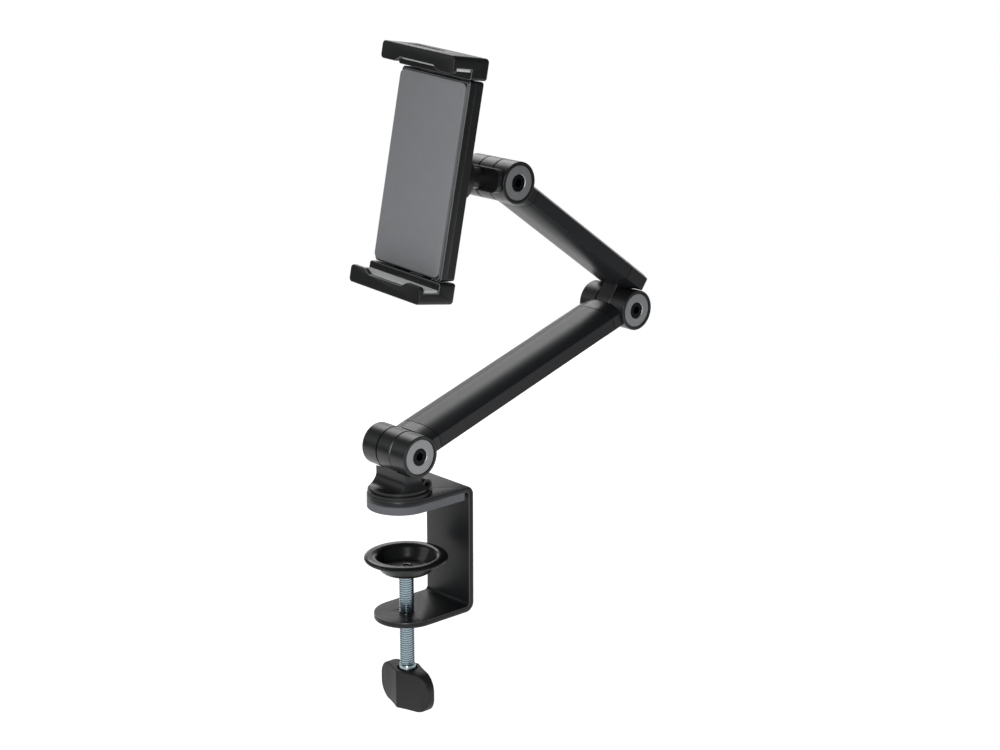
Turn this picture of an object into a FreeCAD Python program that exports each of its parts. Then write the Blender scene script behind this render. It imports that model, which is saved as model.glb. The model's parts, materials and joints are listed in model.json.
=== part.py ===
import FreeCAD, Part
import math
import os
import re
import Sketcher

# A desk mount for a tablet: a screw clamp, a swivel post, two flat arms on three friction
# hinges, a tilting head and a sprung holder whose jaws draw apart.
# X runs along the hinge axes, the tablet faces -Y, +Z is up, and the origin is the middle
# of the grey pad's underside, where the mount rests on the desk and where it swivels.

doc = FreeCAD.newDocument("tablet_desk_mount")
sheet = doc.addObject("Spreadsheet::Sheet", "Sizes")
pieces = []

# Every size: its name, its value in millimetres or degrees, and what it is.
SIZES = (
    # Clearances
    ("running_gap", "0.05", "radial clearance of a shaft in its bearing"),
    ("fitting_gap", "0.1", "clearance of a piece fixed in its seat"),
    ("free_gap", "0.3", "clearance of pieces that pass one another"),
    ("cut_margin", "1", "how far a cut reaches past the piece it opens"),
    # Desk clamp: one bent steel strip, open to the front
    ("strip_half", "17", "half width of the strip, and the radius of its round ends"),
    ("strip_thick", "3", "thickness of the strip"),
    ("desk_pad_thick", "4.1", "thickness of the grey pad under the upper plate"),
    ("desk_pad_back", "29.8", "back edge of the grey pad"),
    ("desk_pad_floor", "0.6", "rubber left under the swivel bolt's head"),
    ("desk_pad_corner", "1.5", "rounding of the pad's back corners"),
    ("spine_back", "34.9", "back face of the upright spine"),
    ("bend_radius", "5", "outside radius of the strip's bends"),
    ("jaw_upper_face", "-59", "upper face of the lower jaw"),
    ("screw_back", "3.5", "how far the clamp screw stands behind the swivel axis"),
    ("plate_top", "=desk_pad_thick + strip_thick", "upper face of the upper plate"),
    ("spine_front", "=spine_back - strip_thick", "front face of the spine"),
    ("jaw_lower_face", "=jaw_upper_face - strip_thick", "underside of the lower jaw"),
    # Pressure dish, pressed from sheet
    ("dish_radius", "21.7", "outside of the dish's flange"),
    ("dish_mouth", "16", "radius where the bowl meets the flange"),
    ("dish_floor_radius", "12.6", "radius of the bowl's flat floor, inside"),
    ("dish_rim_height", "-27.7", "upper face of the flange"),
    ("dish_floor_height", "-35.3", "upper face of the floor"),
    ("dish_sheet", "1.5", "thickness of the pressed sheet"),
    ("dish_lip_round", "0.6", "rounding of the flange's outer edge"),
    # Clamp screw and wing knob
    ("screw_radius", "3.9", "outside of the clamp screw's thread"),
    ("screw_neck_radius", "2.5", "turned neck that runs in the dish's floor"),
    ("screw_rivet_radius", "3.4", "spread end that holds the dish on the screw"),
    ("screw_rivet_height", "1.8", "height of the spread end above the dish's floor"),
    ("collar_top", "-88", "upper face of the plain collar"),
    ("collar_radius", "4.35", "radius of the plain collar"),
    ("knob_top", "-90.6", "upper face of the wing knob"),
    ("knob_tall", "20.7", "height of the wing knob"),
    ("knob_half", "19.4", "half width of the knob, across its wings"),
    ("knob_hub_half", "7.8", "half thickness of the knob at its middle"),
    ("knob_tip_half", "2.2", "half thickness of the wings at their tips"),
    ("knob_hollow", "0.7", "how deep the face of each wing is hollowed"),
    ("knob_corner", "8.5", "rounding of the wings' corners, seen from the side"),
    ("knob_crease_round", "1.2", "rounding of the crease between two wings' faces"),
    ("knob_cup_radius", "5.2", "cup in the knob's top that the collar sits in"),
    ("knob_cup_deep", "1.7", "depth of that cup"),
    ("knob_floor", "3", "plastic left under the screw's end"),
    ("knob_turn", "-0.5", "turn of the wing knob about the screw"),
    ("knob_bottom", "=knob_top - knob_tall", "underside of the knob"),
    ("knob_taper", "=knob_hub_half - knob_tip_half", "how much a wing thins towards its tip"),
    ("knob_chord", "=sqrt(knob_half^2 + knob_taper^2)", "length of the face of a wing"),
    ("knob_hollow_radius", "=(knob_chord^2 / 4 + knob_hollow^2) / (2 * knob_hollow)",
     "radius of the hollow in that face"),
    ("knob_hollow_stand", "=(knob_hollow_radius - knob_hollow) / knob_chord",
     "distance from the face to the hollow's centre, as a share of the face's length"),
    ("knob_hollow_side", "=knob_half / 2 + knob_taper * knob_hollow_stand",
     "hollow's centre, along the wings"),
    ("knob_hollow_away", "=(knob_hub_half + knob_tip_half) / 2 + knob_half * knob_hollow_stand",
     "hollow's centre, out from the wings"),
    # Swivel post
    ("swivel_ring_radius", "16.5", "outside of the plain ring under the post"),
    ("swivel_ring_thick", "2", "thickness of that ring"),
    ("swivel_bolt_radius", "4", "shank of the swivel bolt"),
    ("swivel_head_radius", "7", "head of the swivel bolt"),
    ("swivel_head_tall", "2.4", "height of that head"),
    ("swivel_spring_thick", "0.8", "spring washer above the head"),
    ("swivel_bolt_reach", "17", "height of the swivel bolt's end"),
    ("skirt_radius", "15.2", "foot of the post"),
    ("skirt_tall", "1.6", "upright edge of the foot"),
    ("neck_radius", "12.87", "round neck of the post"),
    ("flare_top", "16.3", "height where the foot's flare meets the neck"),
    ("flat_half", "6.1", "half thickness of the post between its flats"),
    ("cove_radius", "6", "cove at the bottom of each flat"),
    ("post_saddle_radius", "11.3", "hollow in the post that clears the arm's knuckles"),
    ("lug_radius", "3.05", "lug that holds the set screw"),
    ("lug_back", "7.6", "how far the lug stands behind the swivel axis"),
    ("lug_height", "12.2", "height of the lug's axis"),
    ("lug_reach", "12.6", "outer face of the lug"),
    ("set_screw_radius", "2", "radius of the set screw"),
    ("set_screw_long", "6", "length of the set screw"),
    ("set_screw_recess", "0.4", "how far the set screw sits below the lug's face"),
    ("set_screw_socket", "2", "across flats of the set screw's socket"),
    ("ring_top", "=plate_top + swivel_ring_thick", "upper face of the plain ring"),
    ("skirt_top", "=ring_top + skirt_tall", "top of the foot's upright edge"),
    # Hinges: the same eye, fork, bolt and ring caps at base, elbow and head
    ("base_pivot_height", "29.48", "height of the base hinge's axis"),
    ("knuckle_radius", "10.88", "radius of every hinge eye"),
    ("eye_half", "5.25", "half width of the middle eye"),
    ("eye_bevel", "0.5", "bevel on the middle eye's edges"),
    ("shim_thick", "0.5", "friction washer on each side of the middle eye"),
    ("shim_radius", "9.5", "radius of the friction washers"),
    ("knuckle_end", "16.75", "outer face of the fork's knuckles"),
    ("knuckle_round", "0.5", "rounding of the knuckles' outer edges"),
    ("fork_slot_radius", "11.4", "clearance round the middle eye"),
    ("eye_saddle_radius", "11.3", "clearance round the fork's knuckles"),
    ("cap_radius", "9.2", "ring cap that closes each knuckle"),
    ("cap_hole_radius", "4.4", "hole in the ring cap"),
    ("cap_thick", "1.8", "thickness of the ring cap"),
    ("cap_recess", "0.4", "how far the ring cap sits below the knuckle's face"),
    ("cap_bevel", "0.3", "bevel round the ring cap"),
    ("hinge_bolt_radius", "2.5", "shank of the hinge bolt"),
    ("hinge_head_radius", "4.25", "head of the hinge bolt"),
    ("hinge_head_tall", "5", "height of that head"),
    ("hinge_socket_flats", "4", "across flats of the bolt's hexagon socket"),
    ("hinge_socket_deep", "2.5", "depth of that socket"),
    ("hinge_nut_flats", "8", "across flats of the nut"),
    ("hinge_nut_tall", "4", "height of the nut"),
    ("head_proud", "1.45", "how far the bolt's head reaches into the ring cap"),
    ("knuckle_inner", "=eye_half + shim_thick", "inner face of the fork's knuckles"),
    ("cap_seat", "=knuckle_end - cap_recess - cap_thick", "face that the ring cap rests on"),
    ("head_seat", "=cap_seat + head_proud - hinge_head_tall", "face under the bolt's head"),
    # Arms: one hollow section with flat sides and domed faces
    ("arm_half", "15", "half width of the arms"),
    ("arm_side_half", "3.5", "half height of the arms' flat sides"),
    ("arm_dome", "7", "half height of the arms at the crown"),
    ("arm_crown_half", "3", "half width of the flat crown"),
    ("tube_wall", "2", "wall of the arm tubes"),
    ("tang_long", "14", "how far a fork reaches into its tube"),
    ("seam_gap", "0.4", "open seam between a tube's end and the cast end's shoulder"),
    ("lower_length", "161.5", "lower arm, from hinge to hinge"),
    ("lower_angle", "17.9", "slope of the lower arm"),
    ("base_seam", "15.3", "base hinge to the shoulder of the lower arm's first cast end"),
    ("elbow_seam", "16.5", "elbow hinge to the shoulder of its other cast end"),
    ("upper_length", "117.91", "upper arm, elbow hinge to head hinge along the arm"),
    ("upper_offset", "14.7", "upper arm's middle above the elbow hinge"),
    ("upper_angle", "144.1", "direction of the upper arm"),
    ("yoke_start", "0.95", "end face of the upper arm, past the elbow hinge"),
    ("yoke_seam", "16", "elbow hinge to the shoulder of the upper arm's first cast end"),
    ("yoke_round", "1.2", "rounding of the upper arm's end face"),
    ("head_seam", "16.03", "head hinge to the shoulder of its other cast end"),
    ("dome_radius", "=((arm_half - arm_crown_half)^2 + (arm_dome - arm_side_half)^2)"
         " / (2 * (arm_dome - arm_side_half))", "radius of the domed faces"),
    # Tilting head stem
    ("lean", "9.2", "backward lean of the holder"),
    ("bar_half", "15.8", "half width of the stem's crossbar"),
    ("bar_half_thick", "6", "half thickness of the crossbar"),
    ("bar_corner", "4", "corner radius of the crossbar"),
    ("bar_reach", "13.75", "head hinge to the crossbar's front"),
    ("bar_rim", "1.2", "raised rim round the crossbar's front"),
    ("bar_dish", "0.8", "depth inside that rim"),
    ("stem_radius", "5.5", "round neck in front of the crossbar"),
    ("hub_start", "26", "head hinge to the holder's hub"),
    ("hub_shim_thick", "0.6", "friction washer between neck and hub"),
    ("hub_shim_radius", "9", "radius of that washer"),
    ("pivot_radius", "3", "shank of the holder's pivot bolt"),
    ("pivot_head_radius", "5", "head of the pivot bolt"),
    ("pivot_head_tall", "4", "height of that head"),
    ("pivot_spring_thick", "1", "spring washer under that head"),
    ("pivot_spring_radius", "6", "radius of that spring washer"),
    ("pivot_depth", "11", "how deep the pivot bolt enters the stem"),
    ("pivot_socket_flats", "5", "across flats of the pivot bolt's socket"),
    # Holder: two thin shells with the sliding jaws' rails between them
    ("roll", "2.9", "turn of the holder about its own axis"),
    ("holder_reach", "53.1", "head hinge to the face that the tablet rests on"),
    ("holder_rise", "1.25", "middle of the case above the axis that it turns about"),
    ("rest_inset", "1", "case left bare beside the rubber rest"),
    ("rest_drop", "1.4", "case left bare above and below the rubber rest"),
    ("rest_thick", "1.2", "thickness of the rubber rest"),
    ("rest_corner", "3", "corner radius of the rubber rest"),
    ("case_half", "25.7", "half width of the holder's case"),
    ("case_tall", "49.4", "half height of the holder's case"),
    ("case_thick", "10", "thickness of the case"),
    ("case_split", "6.2", "where the two shells meet, behind the rest's face"),
    ("case_wall", "1.6", "wall of the shells"),
    ("case_bevel", "0.9", "bevel round the front shell"),
    ("case_corner", "1.5", "rounding of the case's corners"),
    ("mouth_inset", "2.8", "case left standing beside the mouths that the slides pass"),
    ("post_radius", "2.2", "screw posts in the front shell"),
    ("post_near", "22", "height of the inner screw posts"),
    ("post_drop", "5.4", "outer screw posts from the end of the case"),
    ("case_screw_radius", "1.25", "shank of the shell screws"),
    ("case_screw_head", "2.3", "head radius of the shell screws"),
    ("case_screw_tall", "1.4", "head height of the shell screws"),
    ("case_screw_long", "6.4", "length of the shell screws under the head"),
    ("hub_radius", "12.5", "round hub on the back of the case"),
    ("hub_floor", "4.1", "floor of the hub"),
    ("hub_bore", "8.3", "cup inside the hub, for the bolt's head"),
    ("hub_round", "0.8", "rounding of the hub's edge"),
    ("hub_screw_spread", "10.4", "hub screws from the hub's axis"),
    ("hub_screw_radius", "1.2", "shank of the hub screws"),
    ("hub_screw_head", "2.4", "head radius of the hub screws"),
    ("hub_screw_tall", "1.6", "head height of the hub screws"),
    ("hub_screw_long", "7", "length of the hub screws under the head"),
    ("guide_inset", "10.7", "middle of the guide rib from the side of the case"),
    ("guide_half", "0.8", "half thickness of the guide ribs"),
    ("guide_drop", "4.4", "end of the guide ribs from the end of the case"),
    ("rest_half", "=case_half - rest_inset", "half width of the rubber rest"),
    ("rest_tall", "=case_tall - rest_drop", "half height of the rubber rest"),
    ("mouth_half", "=case_half - mouth_inset", "half width of the slides' mouths"),
    ("post_far", "=case_tall - post_drop", "height of the outer screw posts"),
    ("guide_middle", "=case_half - guide_inset", "guide rib between the two slides' rails"),
    ("guide_tall", "=case_tall - guide_drop", "half length of the guide ribs"),
    ("case_front", "=rest_thick", "front face of the case"),
    ("case_back", "=rest_thick + case_thick", "back face of the case"),
    # Sprung jaws and their slides
    ("jaw_overhang", "1.7", "how far the jaws stand out beside the case"),
    ("jaw_gap", "0.6", "gap between the case and a closed jaw's block"),
    ("jaw_deep", "10.9", "length of a jaw, along its travel"),
    ("jaw_back", "11.4", "back face of a jaw"),
    ("jaw_step", "0.3", "front face of the jaw's block, behind the rest's face"),
    ("jaw_bridge", "5.9", "thickness of the jaw's bridge"),
    ("lip_front", "11.8", "front face of the lip, before the rest's face"),
    ("lip_thick", "2.4", "thickness of the lip"),
    ("lip_tab_drop", "2", "inner edge of the lip's two tabs, past the block's"),
    ("lip_floor_drop", "4.4", "inner edge of the lip between the tabs, past the block's"),
    ("lip_notch_inner", "12.5", "half width of the notch at its floor"),
    ("lip_notch_outer", "16.3", "half width of the notch at its mouth"),
    ("jaw_corner", "2", "corner radius of the jaw, seen from the front"),
    ("jaw_back_round", "1.6", "rounding of the jaw's back edges"),
    ("jaw_inner_round", "1.4", "rounding of the block's edges next to the case"),
    ("jaw_front_round", "0.6", "rounding of the lip's front edges"),
    ("jaw_slot_side", "-8", "middle of the slot in the jaw's outer face"),
    ("jaw_slot_half", "12", "half length of that slot"),
    ("jaw_slot_wide", "5.5", "width of that slot"),
    ("jaw_slot_deep", "4", "depth of that slot"),
    ("jaw_slot_front", "1.5", "front of that slot, before the rest's face"),
    ("liner_inset", "1", "bridge left bare beside the liner"),
    ("liner_thick", "1.8", "thickness of the liner"),
    ("slide_front", "5", "front face of the slides, behind the rest's face"),
    ("slide_thick", "1.6", "thickness of the slides' steel"),
    ("slide_start_drop", "1.5", "inner edge of the slide's bar, past the block's"),
    ("slide_deep", "7", "width of the slide's bar"),
    ("rail_tip", "25", "how far the rails reach past the holder's axis"),
    ("rail_half", "2.6", "half width of a rail"),
    ("rail_inset", "6.1", "middle of the upper slide's rails, from the side of the case"),
    ("rail_spread", "8.6", "middle of the lower slide's rails, from that of the upper's"),
    ("tongue_side", "5", "the tongue that the spring pulls, from the middle"),
    ("tongue_half", "1.9", "half width of that tongue"),
    ("tongue_drop", "13.4", "inner end of the tongue from the end of the case"),
    ("jaw_screw_side", "15", "jaw screws from the middle"),
    ("jaw_screw_drop", "5.2", "jaw screws, past the inner end of the block"),
    ("jaw_screw_radius", "1.25", "shank of the jaw screws"),
    ("jaw_screw_head", "2.3", "head radius of the jaw screws"),
    ("jaw_screw_tall", "1.5", "head height of the jaw screws"),
    ("jaw_screw_tip", "2.2", "end of the jaw screws, behind the rest's face"),
    ("spring_peg_drop", "9.4", "peg of the spring's fixed end, from the end of the case"),
    ("spring_peg_radius", "1.2", "radius of that peg"),
    ("spring_radius", "1.8", "mean radius of the spring's coils"),
    ("spring_wire", "0.35", "half thickness of the spring wire"),
    ("spring_pitch", "2.4", "pitch of the stretched spring's coils"),
    ("jaw_half", "=case_half + jaw_overhang", "half width of the jaws"),
    ("jaw_start", "=case_tall + jaw_gap", "inner end of a jaw's block, from the holder's axis"),
    ("jaw_end", "=jaw_start + jaw_deep", "outer end of a jaw"),
    ("jaw_roof", "=jaw_end - jaw_bridge", "inside of the jaw's bridge"),
    ("lip_tab", "=jaw_start + lip_tab_drop", "inner edge of the lip's two tabs"),
    ("lip_floor", "=jaw_start + lip_floor_drop", "inner edge of the lip between the tabs"),
    ("liner_half", "=jaw_half - liner_inset", "half width of the rubber liner"),
    ("slide_start", "=jaw_start + slide_start_drop", "inner edge of the slide's bar"),
    ("slide_end", "=slide_start + slide_deep", "outer edge of the slide's bar"),
    ("wide_rail", "=case_half - rail_inset", "middle of the upper slide's rails"),
    ("narrow_rail", "=wide_rail - rail_spread", "middle of the lower slide's rails"),
    ("tongue_tip", "=case_tall - tongue_drop", "inner end of the tongue"),
    ("jaw_screw_height", "=jaw_start + jaw_screw_drop", "jaw screws from the holder's axis"),
    ("spring_peg", "=case_tall - spring_peg_drop", "height of the springs' pegs"),
    ("slide_back", "=slide_front + slide_thick", "back face of the slides"),
    ("slide_middle", "=slide_front + slide_thick / 2", "middle of the slides' thickness"),
)
for row, (alias, text, note) in enumerate(SIZES, start=1):
    sheet.set("A%d" % row, alias)
    sheet.set("B%d" % row, text)
    sheet.set("C%d" % row, note)
    sheet.setAlias("B%d" % row, alias)
aliases = [alias for alias, text, note in SIZES]


def bound(text):
    """Turns a formula in plain size names into one that an object's property understands."""
    return re.sub(r"[a-z][a-z_]*", lambda word: "Sizes." + word.group()
                  if word.group() in aliases else word.group(), text)


def number(text):
    """Works out the present value of a formula in plain size names."""
    return float(sheet.evalExpression(bound(text)))


doc.recompute()

# Places this near in millimetres, and directions this near to parallel, count as the same.
TOUCHING = 0.01
ALONG_X = FreeCAD.Vector(1, 0, 0)
ALONG_Y = FreeCAD.Vector(0, 1, 0)
ALONG_Z = FreeCAD.Vector(0, 0, 1)
NO_TURN = FreeCAD.Rotation()


def at(x, y, z, rotation=NO_TURN):
    """A place given by three formulas and a rotation."""
    return FreeCAD.Placement(FreeCAD.Vector(number(x), number(y), number(z)), rotation)


def turned(axis, text):
    """A rotation about an axis by an angle that a formula gives."""
    return FreeCAD.Rotation(axis, number(text))


def circle(x, y, radius):
    return ("circle", x, y, radius)


def outline(*corners):
    """A closed outline. A corner is x and y, or x, y and the arc that leaves it."""
    return ("outline", corners)


def arc(x, y, turn):
    """The arc about x and y that leaves a corner, counterclockwise or clockwise."""
    return (x, y, turn)


def box(x_low, x_high, y_low, y_high):
    return outline((x_low, y_low), (x_high, y_low), (x_high, y_high), (x_low, y_high))


def mirrored(shape):
    """The same outline on the other side of the sketch's upright axis."""
    corners = []
    for corner in shape[1]:
        flipped = ["-(" + corner[0] + ")", corner[1]]
        if len(corner) == 3:
            x, y, turn = corner[2]
            flipped.append(arc("-(" + x + ")", y, "cw" if turn == "ccw" else "ccw"))
        corners.append(tuple(flipped))
    return ("outline", tuple(corners))


def hexagon(x, y, flats):
    """A hexagon given by its size across flats."""
    reach = "(%s) / sqrt(3)" % flats
    corners = []
    for step in range(6):
        angle = math.radians(60 * step)
        corners.append(("%s + %s * %.9f" % (x, reach, math.cos(angle)),
                        "%s + %s * %.9f" % (y, reach, math.sin(angle))))
    return outline(*corners)


def arm_section(inset):
    """The arms' section, flat-sided and domed, drawn in by an inset."""
    side = "(arm_half - (%s))" % inset
    crown = "(arm_dome - (%s))" % inset
    centre = "(arm_dome - dome_radius)"
    rise = "(%s + sqrt((dome_radius - (%s))^2 - (%s - arm_crown_half)^2))" % (centre, inset, side)
    return outline(
        ("-arm_crown_half", "-" + crown),
        ("arm_crown_half", "-" + crown, arc("arm_crown_half", "-" + centre, "ccw")),
        (side, "-" + rise),
        (side, rise, arc("arm_crown_half", centre, "ccw")),
        ("arm_crown_half", crown),
        ("-arm_crown_half", crown, arc("-arm_crown_half", centre, "ccw")),
        ("-" + side, rise),
        ("-" + side, "-" + rise, arc("-arm_crown_half", "-" + centre, "ccw")))


def rounded_box(half_wide, half_tall, radius):
    """A rectangle about the sketch's origin with round corners."""
    x = "(%s)" % half_wide
    y = "(%s)" % half_tall
    inner_x = "(%s - (%s))" % (x, radius)
    inner_y = "(%s - (%s))" % (y, radius)
    return outline(
        ("-" + inner_x, "-" + y),
        (inner_x, "-" + y, arc(inner_x, "-" + inner_y, "ccw")),
        (x, "-" + inner_y),
        (x, inner_y, arc(inner_x, inner_y, "ccw")),
        (inner_x, y),
        ("-" + inner_x, y, arc("-" + inner_x, inner_y, "ccw")),
        ("-" + x, inner_y),
        ("-" + x, "-" + inner_y, arc("-" + inner_x, "-" + inner_y, "ccw")))


def straight(axis, **place):
    """Picks straight edges along an axis, at the given distances from the piece's planes."""
    wanted = {key: abs(number(text)) for key, text in place.items()}

    def picks(edge):
        if edge.Curve.TypeId != "Part::GeomLine":
            return False
        if abs(getattr(edge.Curve.Direction, axis)) < 1 - TOUCHING:
            return False
        middle = edge.CenterOfMass
        return all(abs(abs(getattr(middle, key)) - far) < TOUCHING
                   for key, far in wanted.items())
    return picks


def in_plane(axis, text):
    """Picks every edge that lies in the plane at a given distance along an axis."""
    far = number(text)

    def picks(edge):
        box_of_edge = edge.BoundBox
        low = getattr(box_of_edge, axis.upper() + "Min")
        high = getattr(box_of_edge, axis.upper() + "Max")
        return abs(low - far) < TOUCHING and abs(high - far) < TOUCHING
    return picks


def round_edge(axis, text, radius):
    """Picks the round edges of a given radius in the planes at a distance along an axis."""
    far = abs(number(text))
    wide = number(radius)

    def picks(edge):
        if edge.Curve.TypeId != "Part::GeomCircle":
            return False
        return (abs(edge.Curve.Radius - wide) < TOUCHING
                and abs(abs(getattr(edge.Curve.Center, axis)) - far) < TOUCHING
                and abs(getattr(edge.Curve.Axis, axis)) > 1 - TOUCHING)
    return picks


class Piece:
    """One piece of the mount: a body of its own, drawn in its own frame and then placed."""

    def __init__(self, name, place=FreeCAD.Placement()):
        self.body = doc.addObject("PartDesign::Body", name)
        self.body.Label = name
        self.body.Placement = place
        pieces.append(self.body)

    def plane(self, role):
        return [part for part in self.body.Origin.OriginFeatures if part.Role == role][0]

    def sketch(self, role, shapes, offset):
        """A fully bound sketch on one of the body's own planes."""
        drawing = self.body.newObject("Sketcher::SketchObject", self.body.Name + "_sketch")
        drawing.AttachmentSupport = [(self.plane(role), "")]
        drawing.MapMode = "FlatFace"
        drawing.setExpression("AttachmentOffset.Base.z", bound(offset))
        for shape in shapes:
            if shape[0] == "circle":
                add_circle(drawing, *shape[1:])
            else:
                add_outline(drawing, shape[1])
        return drawing

    def extrude(self, kind, role, shapes, low, high):
        side = "-" if role == "XZ_Plane" else ""
        middle = "%s((%s) + (%s)) / 2" % (side, low, high)
        feature = self.body.newObject("PartDesign::" + kind, self.body.Name + "_" + kind.lower())
        feature.Profile = self.sketch(role, shapes, middle)
        feature.SideType = "Symmetric"
        feature.setExpression("Length", bound("(%s) - (%s)" % (high, low)))
        self.body.Tip = feature
        return feature

    def add(self, role, shapes, low, high):
        """Adds material drawn on a plane, from one distance along its axis to another."""
        return self.extrude("Pad", role, shapes, low, high)

    def cut(self, role, shapes, low, high):
        """Takes material away in the same way."""
        return self.extrude("Pocket", role, shapes, low, high)

    def turn(self, role, shape, axis="V_Axis"):
        """Adds material turned about one of the sketch's axes."""
        feature = self.body.newObject("PartDesign::Revolution", self.body.Name + "_turned")
        feature.Profile = self.sketch(role, [shape], "0")
        feature.ReferenceAxis = (feature.Profile[0], [axis])
        self.body.Tip = feature
        return feature

    def dress(self, kind, quantity, amount, *picks):
        """Rounds or bevels the edges that are picked; a solid that came out empty is solved again."""
        doc.recompute()
        tip = self.body.Tip
        if tip.Shape.isNull():
            for feature in self.body.Group:
                feature.touch()
            doc.recompute()
        names = ["Edge%d" % (index + 1) for index, edge in enumerate(tip.Shape.Edges)
                 if any(pick(edge) for pick in picks)]
        if not names:
            raise ValueError("no edge to dress on " + self.body.Label)
        feature = self.body.newObject("PartDesign::" + kind, self.body.Name + "_" + kind.lower())
        feature.Base = (tip, names)
        feature.setExpression(quantity, bound(amount))
        self.body.Tip = feature
        return feature

    def round(self, radius, *picks):
        """Rounds the edges that are picked."""
        return self.dress("Fillet", "Radius", radius, *picks)

    def bevel(self, width, *picks):
        """Bevels the edges that are picked."""
        return self.dress("Chamfer", "Size", width, *picks)


def bind_distance(drawing, kind, geometry, point, text):
    index = drawing.addConstraint(
        Sketcher.Constraint(kind, -1, 1, geometry, point, number(text)))
    name = "size_%d" % index
    drawing.renameConstraint(index, name)
    drawing.setExpression("Constraints." + name, bound(text))


def add_circle(drawing, x, y, radius):
    centre = FreeCAD.Vector(number(x), number(y), 0)
    ring = drawing.addGeometry(Part.Circle(centre, ALONG_Z, number(radius)), False)
    bind_distance(drawing, "DistanceX", ring, 3, x)
    bind_distance(drawing, "DistanceY", ring, 3, y)
    index = drawing.addConstraint(Sketcher.Constraint("Radius", ring, number(radius)))
    name = "radius_%d" % index
    drawing.renameConstraint(index, name)
    drawing.setExpression("Constraints." + name, bound(radius))


def add_outline(drawing, corners):
    """Draws a closed outline and binds every corner and every arc's middle."""
    points = [FreeCAD.Vector(number(corner[0]), number(corner[1]), 0) for corner in corners]
    ends = []
    for index, corner in enumerate(corners):
        start = points[index]
        finish = points[(index + 1) % len(corners)]
        if len(corner) == 2:
            line = drawing.addGeometry(Part.LineSegment(start, finish), False)
            ends.append((line, 1, 2))
            continue
        centre = FreeCAD.Vector(number(corner[2][0]), number(corner[2][1]), 0)
        first = math.atan2(start.y - centre.y, start.x - centre.x)
        last = math.atan2(finish.y - centre.y, finish.x - centre.x)
        clockwise = corner[2][2] == "cw"
        if clockwise:
            first, last = last, first
        if last <= first:
            last += 2 * math.pi
        whole = Part.Circle(centre, ALONG_Z, (start - centre).Length)
        bow = drawing.addGeometry(Part.ArcOfCircle(whole, first, last), False)
        ends.append((bow, 2, 1) if clockwise else (bow, 1, 2))
    for index, corner in enumerate(corners):
        geometry, start_point, end_point = ends[index]
        following, following_start, _ = ends[(index + 1) % len(corners)]
        drawing.addConstraint(Sketcher.Constraint(
            "Coincident", geometry, end_point, following, following_start))
        bind_distance(drawing, "DistanceX", geometry, start_point, corner[0])
        bind_distance(drawing, "DistanceY", geometry, start_point, corner[1])
        if len(corner) == 3:
            chord = points[(index + 1) % len(corners)] - points[index]
            if abs(chord.x) >= abs(chord.y):
                bind_distance(drawing, "DistanceY", geometry, 3, corner[2][1])
            else:
                bind_distance(drawing, "DistanceX", geometry, 3, corner[2][0])


# The frames of the moving parts, each placed by the hinge before it
row_frame = FreeCAD.Placement()
screw_frame = at("0", "screw_back", "0")
knob_frame = at("0", "screw_back", "0", turned(ALONG_Z, "knob_turn"))
lower_frame = at("0", "0", "base_pivot_height", turned(ALONG_X, "lower_angle"))
elbow_frame = lower_frame * at("0", "lower_length", "0")
elbow_fork_frame = elbow_frame * at("0", "0", "0", turned(ALONG_X, "180"))
elbow_point = elbow_frame.Base
upper_frame = (FreeCAD.Placement(elbow_point, turned(ALONG_X, "upper_angle"))
               * at("0", "0", "-upper_offset"))
head_frame = upper_frame * at("0", "upper_length", "0")
head_fork_frame = head_frame * at("0", "0", "0", turned(ALONG_X, "180"))
stem_frame = FreeCAD.Placement(head_frame.Base, turned(ALONG_X, "-lean"))
turning_frame = stem_frame * at("0", "-holder_reach", "0", turned(ALONG_Y, "roll"))
holder_frame = turning_frame * at("0", "0", "holder_rise")
lower_jaw_frame = holder_frame * at("0", "0", "0", turned(ALONG_Y, "180"))


def clamp_bracket():
    """A strip of steel bent twice into a C, with round ends to both jaws."""
    piece = Piece("clamp_bracket")
    piece.add("YZ_Plane", [outline(
        ("-strip_half", "desk_pad_thick"),
        ("spine_front", "desk_pad_thick"),
        ("spine_front", "jaw_upper_face"),
        ("screw_back - strip_half", "jaw_upper_face"),
        ("screw_back - strip_half", "jaw_lower_face"),
        ("spine_back", "jaw_lower_face"),
        ("spine_back", "plate_top"),
        ("-strip_half", "plate_top"))], "-strip_half", "strip_half")
    piece.round("bend_radius",
                straight("x", y="spine_back", z="plate_top"),
                straight("x", y="spine_back", z="jaw_lower_face"))
    piece.round("bend_radius - strip_thick",
                straight("x", y="spine_front", z="desk_pad_thick"),
                straight("x", y="spine_front", z="jaw_upper_face"))
    for middle, low, high in (("0", "desk_pad_thick", "plate_top"),
                              ("screw_back", "jaw_lower_face", "jaw_upper_face")):
        side = "strip_half + cut_margin"
        front = middle + " - strip_half - cut_margin"
        piece.cut("XY_Plane", [outline(
            ("-strip_half", middle, arc("0", middle, "ccw")),
            ("strip_half", middle),
            (side, middle),
            (side, front),
            ("-(" + side + ")", front),
            ("-(" + side + ")", middle))], low, high)
    piece.cut("XY_Plane", [circle("0", "0", "swivel_bolt_radius + running_gap")],
              "desk_pad_thick", "plate_top")
    piece.cut("XY_Plane", [circle("0", "screw_back", "screw_radius + running_gap")],
              "jaw_lower_face", "jaw_upper_face")


def desk_pad():
    """Grey rubber pad under the upper plate, with a blind pocket for the swivel bolt."""
    piece = Piece("desk_pad")
    piece.add("XY_Plane", [outline(
        ("-strip_half", "0", arc("0", "0", "ccw")),
        ("strip_half", "0"),
        ("strip_half", "desk_pad_back"),
        ("-strip_half", "desk_pad_back"))], "0", "desk_pad_thick")
    piece.round("desk_pad_corner", straight("z", x="strip_half", y="desk_pad_back"))
    piece.cut("XY_Plane", [circle("0", "0", "swivel_head_radius + cut_margin")],
              "desk_pad_floor", "desk_pad_thick")


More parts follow.
